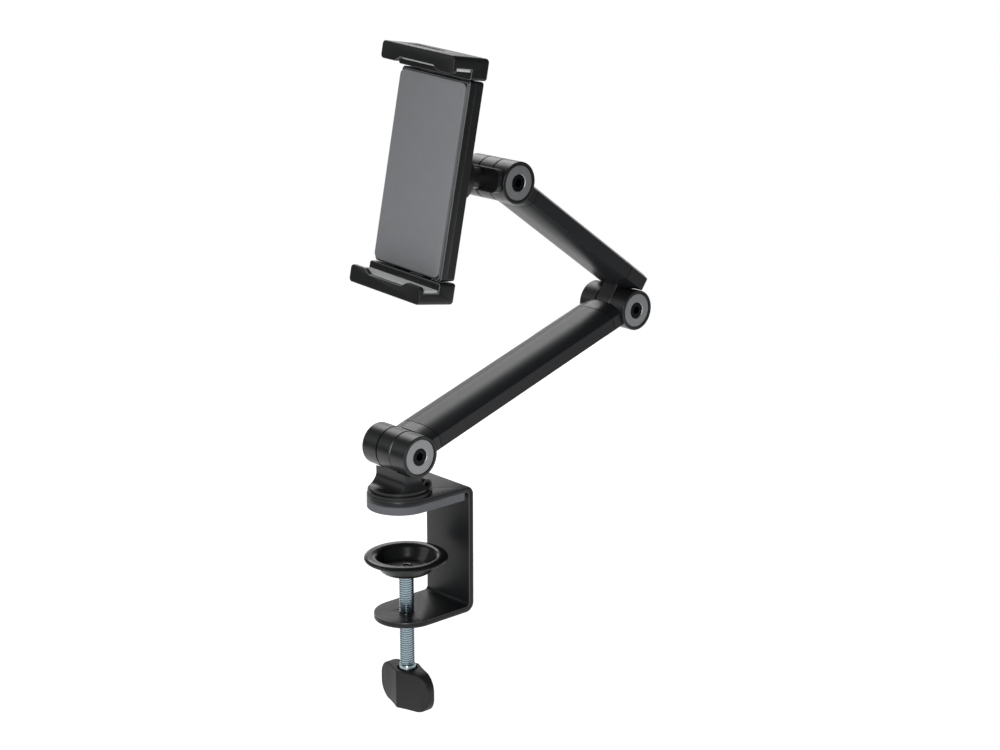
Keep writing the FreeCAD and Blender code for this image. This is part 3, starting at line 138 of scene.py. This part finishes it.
world = bpy.data.worlds.new("dim studio before a white wall")
world.use_nodes = True
world.node_tree.nodes.clear()
room = add(world, "ShaderNodeBackground", {"Color": WHITE, "Strength": ROOM_GLOW})
wall = add(world, "ShaderNodeBackground", {"Color": WHITE, "Strength": WALL_GLOW})
seen = add(world, "ShaderNodeLightPath")
choice = add(world, "ShaderNodeMixShader", {
    "Fac": seen.outputs["Is Camera Ray"], 1: room.outputs["Background"],
    2: wall.outputs["Background"]})
add(world, "ShaderNodeOutputWorld", {"Surface": choice.outputs["Shader"]})
bpy.context.scene.world = world
bpy.context.scene.view_settings.view_transform = "Standard"
print("the room glows at", ROOM_GLOW, "and the wall at", WALL_GLOW)

# %% [markdown]
# Colours are written as the hex numbers that a paint chart or an image editor shows. The shader
# works in linear light, so one function converts them by the sRGB curve. No real surface has one
# colour or one gloss all over, and most finishes here share how that is made: a pattern blends
# two near colours, and a finer one spreads the roughness and raises bumps. So those nodes are
# added by two functions, one for the skin and one that ends the material.

# %% Helpers for materials
MM = 0.001
NOISE_LOW, NOISE_HIGH = 0.3, 0.7  # noise seldom leaves this range


def linear(colour):
    """Turns an sRGB hex colour into the linear one that the shader reads."""
    parts = [int(colour[i:i + 2], 16) / 255 for i in (1, 3, 5)]
    return tuple(p / 12.92 if p <= 0.04045 else ((p + 0.055) / 1.055) ** 2.4
                 for p in parts) + (1,)


def blank(name):
    """Starts a material with no nodes, and with the coordinates that its patterns read."""
    material = bpy.data.materials.new(name)
    material.use_nodes = True
    material.node_tree.nodes.clear()
    return material, add(material, "ShaderNodeTexCoord").outputs["Object"]


def skin(material, gloss, roughness, bumps, height):
    """Spreads roughness over its two limits by one pattern, and raises another by height mm."""
    spread = add(material, "ShaderNodeMapRange", {
        "Value": gloss, "From Min": NOISE_LOW, "From Max": NOISE_HIGH,
        "To Min": roughness[0], "To Max": roughness[1]})
    raised = add(material, "ShaderNodeBump", {
        "Height": bumps, "Distance": height * MM, "Strength": 1.0})
    return {"Roughness": spread.outputs["Result"], "Normal": raised.outputs["Normal"]}


def finish(material, patches, colours, inputs):
    """Blends two colours by a pattern, and ends the material with a shader and its inputs."""
    blend = add(material, "ShaderNodeMix", {
        "Factor": patches, 6: linear(colours[0]), 7: linear(colours[1])}, data_type="RGBA")
    shader = add(material, "ShaderNodeBsdfPrincipled", {"Base Color": blend.outputs[2], **inputs})
    add(material, "ShaderNodeOutputMaterial", {"Surface": shader.outputs["BSDF"]})
    print("mixed", material.name)
    return material


print("the grey #808080 is %.3f in linear light" % linear("#808080")[0])

# %% [markdown]
# Polyester powder coat covers the bent steel strip. The powder melts into a skin with a faint
# orange peel, in waves about a millimetre across, which breaks up the highlights a little. One
# flat colour would make the plate look like cut paper. The resin has an IOR of about 1.5. Its
# matting agent weakens the reflection, so the specular level lies below the usual 0.5. It was
# matched to the photograph, as it was for the other black finishes.

# %% Powder-coated steel
PEEL, COAT_DRIFT = 1.2, 18  # mm
COAT, place = blank("polyester powder coat, satin black")
peel = add(COAT, "ShaderNodeTexNoise", {"Vector": place, "Scale": 1 / (PEEL * MM)}).outputs["Fac"]
drift = add(COAT, "ShaderNodeTexNoise", {
    "Vector": place, "Scale": 1 / (COAT_DRIFT * MM)}).outputs["Fac"]
finish(COAT, drift, ("#17181a", "#1c1d1f"), {
    "IOR": 1.5, "Specular IOR Level": 0.22,
    **skin(COAT, peel, (0.34, 0.42), peel, height=0.012)})

# %% [markdown]
# The hinge forks, the post and the stem are zinc castings with a sprayed satin lacquer. The
# lacquer lies thinner than powder, so the fine grain of the blasted casting shows through it.
# The grain is really about 0.1 mm and is drawn at 0.5 mm, so that the picture can show it.

# %% Lacquered casting
CAST_GRAIN, CAST_DRIFT = 0.5, 14  # mm
CASTING, place = blank("zinc casting, satin black lacquer")
blast = add(CASTING, "ShaderNodeTexNoise", {
    "Vector": place, "Scale": 1 / (CAST_GRAIN * MM), "Detail": 3.0}).outputs["Fac"]
drift = add(CASTING, "ShaderNodeTexNoise", {
    "Vector": place, "Scale": 1 / (CAST_DRIFT * MM)}).outputs["Fac"]
finish(CASTING, drift, ("#151618", "#1a1b1d"), {
    "IOR": 1.5, "Specular IOR Level": 0.4,
    **skin(CASTING, blast, (0.28, 0.38), blast, height=0.005)})

# %% [markdown]
# The arms' tubes are extruded aluminium, blasted and anodised black. The dye fills the oxide and
# hides the metal, so the finish is mixed as a dark one that isn't metallic, with the soft
# reflection of a clear skin. The die leaves faint lines along the tube, which blasting turns into
# long streaks, so the noise is stretched along the arm. It could be painted on a UV map, but a
# Mapping node that turns the pattern to the arm's slope needs none.

# %% Anodised aluminium
LOWER_SLOPE, UPPER_SLOPE = 17.9, 144.1  # degrees up from +Y
STREAK, STRETCH, BLAST = 0.8, 0.06, 0.5  # mm, share of the pattern's speed along the arm, mm


def anodised_aluminium(name, slope):
    """Anodised black, with streaks that run along an arm of the given slope."""
    material, place = blank(name)
    along = add(material, "ShaderNodeMapping", {
        "Vector": place, "Rotation": (math.radians(-slope), 0, 0), "Scale": (1, STRETCH, 1)})
    streaks = add(material, "ShaderNodeTexNoise", {
        "Vector": along.outputs["Vector"], "Scale": 1 / (STREAK * MM), "Detail": 3.0})
    blast = add(material, "ShaderNodeTexNoise", {"Vector": place, "Scale": 1 / (BLAST * MM)})
    return finish(material, streaks.outputs["Fac"], ("#1a1b1d", "#202123"), {
        "IOR": 1.55, "Specular IOR Level": 0.22,
        **skin(material, streaks.outputs["Fac"], (0.33, 0.40), blast.outputs["Fac"],
               height=0.004)})


LOWER_TUBE = anodised_aluminium("aluminium extrusion, anodised black, lower arm", LOWER_SLOPE)
UPPER_TUBE = anodised_aluminium("aluminium extrusion, anodised black, upper arm", UPPER_SLOPE)

# %% [markdown]
# The ring caps in the hinges are turned from aluminium and left grey. The lathe's tool cuts a
# fine spiral, about 0.1 mm from groove to groove, drawn here at 0.45 mm so that it shows. Such
# grooves are too fine to model, so they are a sine of the distance from the hinge's axis. Each
# hinge has its own copy of the material, centred by a Mapping node on the place that the record
# gives for its joint.

# %% Turned aluminium
GROOVE, SPECKLE = 0.45, 0.6  # mm


def turned_aluminium(name, pivot):
    """Turned rings round a hinge's axis, which runs along X through the pivot."""
    material, place = blank(name)
    centred = add(material, "ShaderNodeMapping", {
        "Vector": place, "Location": (0, -pivot[0], -pivot[1]), "Scale": (0, 1, 1)})
    radius = add(material, "ShaderNodeVectorMath", {0: centred.outputs["Vector"]},
                 operation="LENGTH")
    turns = add(material, "ShaderNodeMath", {
        0: radius.outputs["Value"], 1: 2 * math.pi / (GROOVE * MM)}, operation="MULTIPLY")
    groove = add(material, "ShaderNodeMath", {0: turns.outputs[0]}, operation="SINE").outputs[0]
    speckle = add(material, "ShaderNodeTexNoise", {
        "Vector": place, "Scale": 1 / (SPECKLE * MM), "Detail": 3.0}).outputs["Fac"]
    return finish(material, speckle, ("#8e9092", "#a3a5a7"), {
        "Metallic": 1.0, **skin(material, speckle, (0.40, 0.52), groove, height=0.003)})


JOINTS = {joint["name"]: joint for joint in frame["joints"]}
CAPS = {}
for hinge, joint in (("base", "base_hinge"), ("elbow", "elbow_hinge"), ("head", "head_tilt")):
    CAPS[hinge] = turned_aluminium("turned aluminium, %s hinge" % hinge,
                                   JOINTS[joint]["pos_m"][1:])

# %% [markdown]
# The face that the tablet rests on, the liners of the jaws and the pad under the clamp are
# moulded silicone rubber, grey and matt, with a skin as smooth as the mould. Silicone has an IOR
# of about 1.41. A very slight mottle keeps it from looking like paint.

# %% Grey rubber
MOTTLE, RUBBER_SKIN, RUBBER_SPREAD = 6, 0.6, 0.04  # mm, mm, roughness each way


def grey_rubber(name, colours, roughness):
    """Moulded grey rubber with a slight mottle."""
    material, place = blank(name)
    mottle = add(material, "ShaderNodeTexNoise", {
        "Vector": place, "Scale": 1 / (MOTTLE * MM), "Detail": 3.0}).outputs["Fac"]
    fine = add(material, "ShaderNodeTexNoise", {
        "Vector": place, "Scale": 1 / (RUBBER_SKIN * MM)}).outputs["Fac"]
    limits = (roughness - RUBBER_SPREAD, roughness + RUBBER_SPREAD)
    return finish(material, mottle, colours, {
        "IOR": 1.41, **skin(material, fine, limits, fine, height=0.004)})


REST_RUBBER = grey_rubber("silicone rubber, mid grey", ("#77797c", "#7e8083"), roughness=0.55)
PAD_RUBBER = grey_rubber("desk pad rubber, grey", ("#54565a", "#5c5e62"), roughness=0.6)
LINER_RUBBER = grey_rubber("silicone rubber, light grey", ("#c0c1c2", "#c9cacb"), roughness=0.55)

# %% [markdown]
# The holder's shells and the jaws are injection-moulded ABS, and the knob and the swivel's ring
# are nylon, which is duller. The mould is spark-eroded. That leaves a fine even texture on the
# plastic, really about 0.15 mm from peak to peak and drawn here at 0.45 mm so that it shows.

# %% Moulded plastic
TEXTURE, PLASTIC_DRIFT, PLASTIC_SPREAD = 0.45, 20, 0.05  # mm, mm, roughness each way


def fine_textured(name, colours, roughness, height):
    """A surface with the even texture of a spark-eroded mould, height mm high: black, or lighter where it paints
    an edge highlight.
    """
    material, place = blank(name)
    texture = add(material, "ShaderNodeTexNoise", {
        "Vector": place, "Scale": 1 / (TEXTURE * MM)}).outputs["Fac"]
    drift = add(material, "ShaderNodeTexNoise", {
        "Vector": place, "Scale": 1 / (PLASTIC_DRIFT * MM)}).outputs["Fac"]
    limits = (roughness - PLASTIC_SPREAD, roughness + PLASTIC_SPREAD)
    return finish(material, drift, colours, {
        "IOR": 1.54, "Specular IOR Level": 0.3, **skin(material, texture, limits, texture, height)})


SHELL = fine_textured("moulded ABS, fine black texture", ("#101112", "#141516"),
                      roughness=0.36, height=0.006)
NYLON = fine_textured("moulded nylon, matt black", ("#131315", "#18181a"),
                      roughness=0.56, height=0.008)

# %% [markdown]
# The clamp screw and the hinge nuts are steel with bright zinc plating, slightly blue from its
# passivation. Bolts, small screws and the jaws' slides are steel with black oxide, which is dark,
# oily and a little shiny. Springs and spring washers are bare spring steel, and the friction
# washers are sintered bronze. The colour of a metal is the tint of what it reflects, so each one
# needs only that, its roughness and a slightly uneven surface.

# %% Metals
METAL_PATCH, METAL_SPREAD = 0.8, 0.06  # mm, roughness each way


def metal(name, colours, roughness):
    """A metal with a slightly uneven surface."""
    material, place = blank(name)
    patch = add(material, "ShaderNodeTexNoise", {
        "Vector": place, "Scale": 1 / (METAL_PATCH * MM), "Detail": 3.0}).outputs["Fac"]
    limits = (roughness - METAL_SPREAD, roughness + METAL_SPREAD)
    return finish(material, patch, colours, {
        "Metallic": 1.0, **skin(material, patch, limits, patch, height=0.002)})


ZINC = metal("steel, bright zinc plated", ("#8f9ea5", "#a9b6bc"), roughness=0.24)
BLACK_OXIDE = metal("steel, black oxide", ("#1a1b1d", "#26272a"), roughness=0.34)
SPRING_STEEL = metal("spring steel, bare", ("#8c8d8f", "#9c9d9f"), roughness=0.3)
BRONZE = metal("sintered bronze", ("#8a6a3c", "#a37f4a"), roughness=0.42)

# %% [markdown]
# The pressure dish is pressed steel sheet with stove enamel, a glossy black that flows out in
# waves some millimetres long. A clear coat over a dark base gives its sharper highlights. One
# glossy layer alone would look like wet plastic.

# %% Stove enamel
WAVES, WAVE_HEIGHT = 4, 0.01  # mm
ENAMEL, place = blank("stove enamel, gloss black")
waves = add(ENAMEL, "ShaderNodeTexNoise", {
    "Vector": place, "Scale": 1 / (WAVES * MM)}).outputs["Fac"]
flow = add(ENAMEL, "ShaderNodeBump", {
    "Height": waves, "Distance": WAVE_HEIGHT * MM, "Strength": 1.0})
finish(ENAMEL, waves, ("#0e0f10", "#131415"), {
    "Roughness": 0.3, "IOR": 1.5, "Specular IOR Level": 0.22, "Coat Weight": 0.25,
    "Coat Roughness": 0.1, "Normal": flow.outputs["Normal"]})

# %% [markdown]
# Now every solid gets its material. Each could be given by hand, but one table of names shows
# at a glance which pieces share a finish.

# %% Dress the solids
FINISHES = {
    "clamp_bracket": COAT, "desk_pad": PAD_RUBBER, "swivel_ring": NYLON,
    "pressure_dish": ENAMEL, "clamp_screw": ZINC, "wing_knob": NYLON, "swivel_post": CASTING,
    "swivel_bolt": BLACK_OXIDE, "swivel_spring_washer": SPRING_STEEL,
    "swivel_set_screw": BLACK_OXIDE, "lower_arm_base_fork": CASTING,
    "lower_arm_tube": LOWER_TUBE, "lower_arm_elbow_fork": CASTING,
    "upper_arm_elbow_yoke": CASTING, "upper_arm_tube": UPPER_TUBE,
    "upper_arm_head_fork": CASTING, "head_stem": CASTING, "hub_friction_washer": BRONZE,
    "hub_spring_washer": SPRING_STEEL, "hub_pivot_bolt": BLACK_OXIDE,
    "holder_rest_pad": REST_RUBBER, "holder_front_shell": SHELL, "holder_back_shell": SHELL,
    "holder_hub": SHELL, "hub_screws": BLACK_OXIDE, "holder_shell_screws": BLACK_OXIDE,
    "jaw_springs": SPRING_STEEL,
}
for hinge, cap in CAPS.items():
    FINISHES[hinge + "_hinge_bolt"] = BLACK_OXIDE
    FINISHES[hinge + "_hinge_nut"] = ZINC
    FINISHES[hinge + "_hinge_washers"] = BRONZE
    FINISHES[hinge + "_hinge_caps"] = cap
for jaw in ("upper_jaw", "lower_jaw"):
    FINISHES[jaw] = SHELL
    FINISHES[jaw + "_liner"] = LINER_RUBBER
    FINISHES[jaw + "_slide"] = BLACK_OXIDE
    FINISHES[jaw + "_screws"] = BLACK_OXIDE


def wear(piece, material):
    """Makes one material the only one that a piece has."""
    piece.data.materials.clear()
    piece.data.materials.append(material)


for name, piece in frame["nodes"].items():
    wear(piece, FINISHES[name])
print("dressed", len(frame["nodes"]), "solids")

# %% [markdown]
# A real edge is never quite sharp. Paint pools over a bent strip's edges, and a moulded jaw has
# a small round on every one, and that round is what catches a thin line of light. It could be
# drawn by hand, but the solids already have the right shape, so a copy of each is merged, its
# flat faces are made whole again, and a Bevel modifier rounds whatever is still sharp. On the
# bracket, the jaws and the shell, the narrow new faces get a lighter, smoother material of their
# own. It is a painted highlight, which puts that thin line of light into the colour of the edge.

# %% Round the sharp edges
# Painted highlight: these two lighter grey materials colour the rounded edges to stand in for the thin line of
# light that each edge catches.
SHELL_EDGE_PAINTED_HIGHLIGHT = fine_textured("moulded ABS, painted edge highlight",
                           ("#5e6063", "#707275"), roughness=0.28, height=0.002)
COAT_EDGE_PAINTED_HIGHLIGHT = fine_textured("powder coat, painted edge highlight",
                          ("#3f4042", "#4a4b4d"), roughness=0.3, height=0.003)
SAME_POINT = 0.001  # mm
FLAT, SHARP, SMOOTH = math.radians(0.6), math.radians(28), math.radians(32)
EDGE_SLOT = 1  # the second of a piece's material slots
BODIES = frame["record"]["behaviour"]["bodies"]
RIDES_ON = {node: body for body, nodes in BODIES.items() for node in nodes}


def only(piece):
    """Selects one piece and nothing else."""
    bpy.ops.object.select_all(action="DESELECT")
    piece.select_set(True)
    bpy.context.view_layer.objects.active = piece


def stand_in(piece, node):
    """Lets a new piece take the place and the motion of a solid."""
    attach(piece, RIDES_ON[node])
    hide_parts(node)
    print(piece.name, "has", len(piece.data.polygons), "faces")


def softened(node, width, segments, edge):
    """Copies a solid, rounds its sharp edges by width mm and gives the new faces the edge material, a painted
    highlight where that is lighter.
    """
    piece = bpy.data.objects.new(node + "_softened", frame["nodes"][node].data.copy())
    bpy.context.scene.collection.objects.link(piece)
    piece.data.materials.append(edge)
    only(piece)
    bpy.ops.object.mode_set(mode="EDIT")
    bpy.ops.mesh.select_all(action="SELECT")
    bpy.ops.mesh.remove_doubles(threshold=SAME_POINT * MM)
    bpy.ops.mesh.dissolve_limited(angle_limit=FLAT)
    bpy.ops.object.mode_set(mode="OBJECT")
    rounding = piece.modifiers.new("rounding", "BEVEL")
    rounding.width, rounding.segments = width * MM, segments
    rounding.limit_method, rounding.angle_limit = "ANGLE", SHARP
    rounding.use_clamp_overlap, rounding.material = False, EDGE_SLOT
    bpy.ops.object.modifier_apply(modifier="rounding")
    bpy.ops.object.shade_smooth_by_angle(angle=SMOOTH)
    stand_in(piece, node)


# The new edge faces of the bracket, the jaws and the shell get a painted highlight; the rest pad and the knob keep
# their own material there.
for node, width, segments, edge in (
        ("clamp_bracket", 0.35, 2, COAT_EDGE_PAINTED_HIGHLIGHT), ("upper_jaw", 0.25, 2, SHELL_EDGE_PAINTED_HIGHLIGHT),
        ("lower_jaw", 0.25, 2, SHELL_EDGE_PAINTED_HIGHLIGHT), ("holder_front_shell", 0.25, 2, SHELL_EDGE_PAINTED_HIGHLIGHT),
        ("holder_rest_pad", 0.35, 2, REST_RUBBER), ("wing_knob", 0.6, 3, NYLON)):
    softened(node, width, segments, edge)

# %% [markdown]
# Round pieces come off a lathe, or out of a press with a round punch. A stack of cylinders could
# stand for them, but then no bend would be smooth. So one corner point is extruded along their
# outline, point by point, and the outline is spun about the upright axis of the clamp screw.

# %% Turn a profile
SCREW_BACK = 3.5  # mm behind the swivel's axis
WELD = 0.002  # mm
TURN_STEPS, TURNED_SMOOTH = 72, 30  # around, degrees


def draw_profile(name, corners):
    """Extrudes a single point through the corners (radius, height), in millimetres."""
    bpy.ops.object.select_all(action="DESELECT")
    bpy.ops.mesh.primitive_plane_add(size=MM)
    piece = bpy.context.object
    piece.name = name
    bpy.ops.object.mode_set(mode="EDIT")
    bpy.ops.mesh.merge(type="CENTER")
    bpy.ops.transform.translate(value=(corners[0][0] * MM, 0, corners[0][1] * MM))
    for (radius, height), (next_radius, next_height) in zip(corners, corners[1:]):
        step = ((next_radius - radius) * MM, 0, (next_height - height) * MM)
        bpy.ops.mesh.extrude_region_move(TRANSFORM_OT_translate={"value": step})
    bpy.ops.mesh.select_all(action="SELECT")
    return piece


def seat(piece, material, smooth):
    """Closes the mesh, points its faces outwards and sets it on the screw's axis."""
    bpy.ops.mesh.select_all(action="SELECT")
    bpy.ops.mesh.remove_doubles(threshold=WELD * MM)
    bpy.ops.mesh.normals_make_consistent(inside=False)
    bpy.ops.object.mode_set(mode="OBJECT")
    piece.location = (0, SCREW_BACK * MM, 0)
    only(piece)
    bpy.ops.object.transform_apply(location=True, rotation=True, scale=True)
    bpy.ops.object.shade_smooth_by_angle(angle=math.radians(smooth))
    wear(piece, material)


def turned(name, corners, material, steps=TURN_STEPS):
    """Spins a profile a whole turn."""
    piece = draw_profile(name, corners)
    bpy.ops.mesh.spin(steps=steps, angle=2 * math.pi, center=(0, 0, 0), axis=(0, 0, 1))
    seat(piece, material, TURNED_SMOOTH)
    print("turned", name, "from", len(corners), "points")
    return piece


print("profiles are spun %.1f mm behind the swivel's axis" % SCREW_BACK)

# %% [markdown]
# The pressure dish is one disc of sheet steel, pressed into a bowl with a flange. Such sheet
# can't have a sharp corner: the mouth rolls over softly, and the flange's rim droops by about a
# millimetre. The profile follows both faces of the sheet, and more points are set where it bends.
# A Solidify modifier would give the sheet its thickness too, but not the rounded rim.

# %% Press the dish
dish = turned("pressure_dish_pressed", (
    (2.7, -35.3), (10.9, -35.3), (11.8, -35.1), (12.5, -34.4), (13.0, -33.5), (15.0, -30.0),
    (15.6, -29.0), (16.3, -28.3), (17.1, -27.9), (18.2, -27.7), (19.5, -27.75), (20.6, -28.0),
    (21.3, -28.4), (21.65, -28.9), (21.7, -29.5), (21.5, -29.85), (21.1, -29.8), (20.6, -29.4),
    (19.6, -29.1), (18.4, -29.0), (17.6, -29.2), (17.0, -29.7), (16.5, -30.4), (14.2, -34.6),
    (13.5, -35.7), (12.6, -36.4), (11.5, -36.6), (2.7, -36.6), (2.7, -35.3)), ENAMEL, steps=96)
stand_in(dish, "pressure_dish")

# %% [markdown]
# The clamp screw has a rolled M8 thread: one groove that climbs 1.25 mm a turn. One pitch of its
# outline is drawn, and a Screw modifier winds it up the shank, each turn joining the one below.
# Two bisects then cut the ends square and fill them. A bump map could fake this, but the thread
# shows along the screw's outline.

# %% Wind the thread
ROOT, CREST, PITCH = 3.26, 3.88, 1.25  # mm
THREAD_TOP, THREAD_END = -36.6, -88.0  # mm
OUTLINE = ((ROOT, 0), (ROOT, 0.14), (CREST, 0.45), (CREST, 0.62), (ROOT, 0.93), (ROOT, 1))
SPARE_TURNS, THREAD_STEPS, THREAD_SMOOTH = 3, 32, 40  # both ends, around, degrees
start = THREAD_END - 2 * PITCH
thread = draw_profile("clamp_screw_thread", [
    (radius, start + pitches * PITCH) for radius, pitches in OUTLINE])
bpy.ops.object.mode_set(mode="OBJECT")
winding = thread.modifiers.new("winding", "SCREW")
winding.axis, winding.angle, winding.screw_offset = "Z", 2 * math.pi, PITCH * MM
winding.iterations = math.ceil((THREAD_TOP - THREAD_END) / PITCH) + SPARE_TURNS
winding.steps, winding.render_steps = THREAD_STEPS, THREAD_STEPS
only(thread)
bpy.ops.object.modifier_apply(modifier="winding")
bpy.ops.object.mode_set(mode="EDIT")
bpy.ops.mesh.select_all(action="SELECT")
bpy.ops.mesh.remove_doubles(threshold=WELD * MM)
for height, up in ((THREAD_TOP, 1), (THREAD_END, -1)):
    bpy.ops.mesh.select_all(action="SELECT")
    bpy.ops.mesh.bisect(plane_co=(0, 0, height * MM), plane_no=(0, 0, up), use_fill=True,
                        clear_outer=True)
seat(thread, ZINC, THREAD_SMOOTH)
print("wound a thread of %.1f turns" % ((THREAD_TOP - THREAD_END) / PITCH))

# %% [markdown]
# Below the thread is a plain collar, and its shank is moulded into the knob. Above it a neck
# passes through the dish, and its end is spread into a rivet that was painted along with the
# dish. Both could be left to the plain solid, but the rivet's rolled rim shows in the bowl. Both
# are turned, and then joined to the thread, because the screw is one piece.

# %% Add the collar and the rivet
collar = turned("clamp_screw_collar", (
    (0, THREAD_END), (3.75, THREAD_END), (4.2, -88.25), (4.35, -88.6), (4.35, -92.1),
    (4.15, -92.3), (CREST, -92.3), (CREST, -108.3), (0, -108.3)), ZINC)
rivet = turned("clamp_screw_rivet", (
    (0, -34.3), (1.1, -34.3), (1.5, -34.0), (1.9, -33.6), (2.4, -33.5), (2.9, -33.7),
    (3.25, -34.2), (3.4, -34.8), (3.4, -35.25), (2.5, -35.3), (2.5, THREAD_TOP),
    (0, THREAD_TOP)), ENAMEL)
only(thread)
collar.select_set(True)
rivet.select_set(True)
bpy.ops.object.join()
stand_in(thread, "clamp_screw")

# %% [markdown]
# Under each jaw's bridge is a strip of light grey rubber with ribs along it, about a millimetre
# apart, that grip the tablet's edge. Each rib could be a piece of its own, but the real strip is
# one moulding. So a block of its size is cut by planes into narrow bands, and every second cut is
# lifted on the tablet's side, which leaves a row of ridges.

# %% Rib the liners
LINER_HALF, LINER_FRONT, LINER_BACK = 26.4, -8.8, 0.2  # mm
LINER_TIP, LINER_ROOF, RIB_DEEP = 53.6, 55.0, 0.7  # mm
BANDS = 18
BAND_WIDE = (LINER_BACK - LINER_FRONT) / BANDS
bpy.ops.object.select_all(action="DESELECT")
bpy.ops.mesh.primitive_cube_add(
    size=MM, location=(0, (LINER_FRONT + LINER_BACK) / 2 * MM, (LINER_TIP + LINER_ROOF) / 2 * MM),
    scale=(2 * LINER_HALF, LINER_BACK - LINER_FRONT, LINER_ROOF - LINER_TIP))
strip = bpy.context.object
bpy.ops.object.transform_apply(location=True, rotation=True, scale=True)
bpy.ops.object.mode_set(mode="EDIT")
for cut in range(1, BANDS):
    bpy.ops.mesh.select_all(action="SELECT")
    bpy.ops.mesh.bisect(plane_co=(0, (LINER_FRONT + cut * BAND_WIDE) * MM, 0),
                        plane_no=(0, 1, 0))
bpy.ops.mesh.select_all(action="DESELECT")
bpy.ops.object.mode_set(mode="OBJECT")
for corner in strip.data.vertices:
    cut = round((corner.co.y / MM - LINER_FRONT) / BAND_WIDE)
    corner.select = cut % 2 == 1 and corner.co.z < (LINER_TIP + RIB_DEEP / 2) * MM
bpy.ops.object.mode_set(mode="EDIT")
bpy.ops.transform.translate(value=(0, 0, RIB_DEEP * MM))
bpy.ops.object.mode_set(mode="OBJECT")
print("cut", BANDS // 2, "ribs,", round(2 * BAND_WIDE, 2), "mm apart")

# %% [markdown]
# The strip was shaped level, at the origin, where its cuts are simple. The holder leans back and
# is turned a little, so the strip is now moved and turned with it. The lower jaw's liner is a
# copy with its own mesh, turned over about the holder's middle. It could be modelled again, but
# both come out of one mould.

# %% Set the liners in the jaws
CASE_MIDDLE = (0.06324 * MM, 14.57282 * MM, 169.8869 * MM)
LEAN, TWIST = math.radians(-9.2), math.radians(2.9)
HOLDER = (Matrix.Translation(CASE_MIDDLE) @ Matrix.Rotation(LEAN, 4, "X")
          @ Matrix.Rotation(TWIST, 4, "Y"))
for jaw, turn in (("upper_jaw", 0), ("lower_jaw", 180)):
    piece = bpy.data.objects.new(jaw + "_liner_ribbed", strip.data.copy())
    bpy.context.scene.collection.objects.link(piece)
    piece.matrix_world = HOLDER @ Matrix.Rotation(math.radians(turn), 4, "Y")
    only(piece)
    bpy.ops.object.transform_apply(location=True, rotation=True, scale=True)
    wear(piece, LINER_RUBBER)
    stand_in(piece, jaw + "_liner")
bpy.data.objects.remove(strip)

# %% [markdown]
# The floor is a round table of white opal acrylic, lit faintly from below as in a product studio,
# so that it stays as white as the wall behind it. A plain white floor would turn grey in the dim
# room. It lies a little under the knob, because the screw comes down by 21.5 mm when the clamp
# is opened.

# %% Lay the floor
SCREW_DROP, FLOOR_GAP, FLOOR_RADIUS = 0.0215, 0.0005, 0.8  # m
CLOUD = 60  # mm
bpy.ops.mesh.primitive_circle_add(
    vertices=96, radius=FLOOR_RADIUS, fill_type="NGON",
    location=(0, TARGET.y, cad_box[0].z - SCREW_DROP - FLOOR_GAP))
floor = bpy.context.object
floor.name = "studio_floor"
ACRYLIC, place = blank("opal acrylic, white")
cloud = add(ACRYLIC, "ShaderNodeTexNoise", {
    "Vector": place, "Scale": 1 / (CLOUD * MM)}).outputs["Fac"]
finish(ACRYLIC, cloud, ("#e6e6e6", "#e9e9e9"), {
    "Roughness": 0.9, "Specular IOR Level": 0.2, "Emission Color": WHITE,
    "Emission Strength": 0.75})
wear(floor, ACRYLIC)
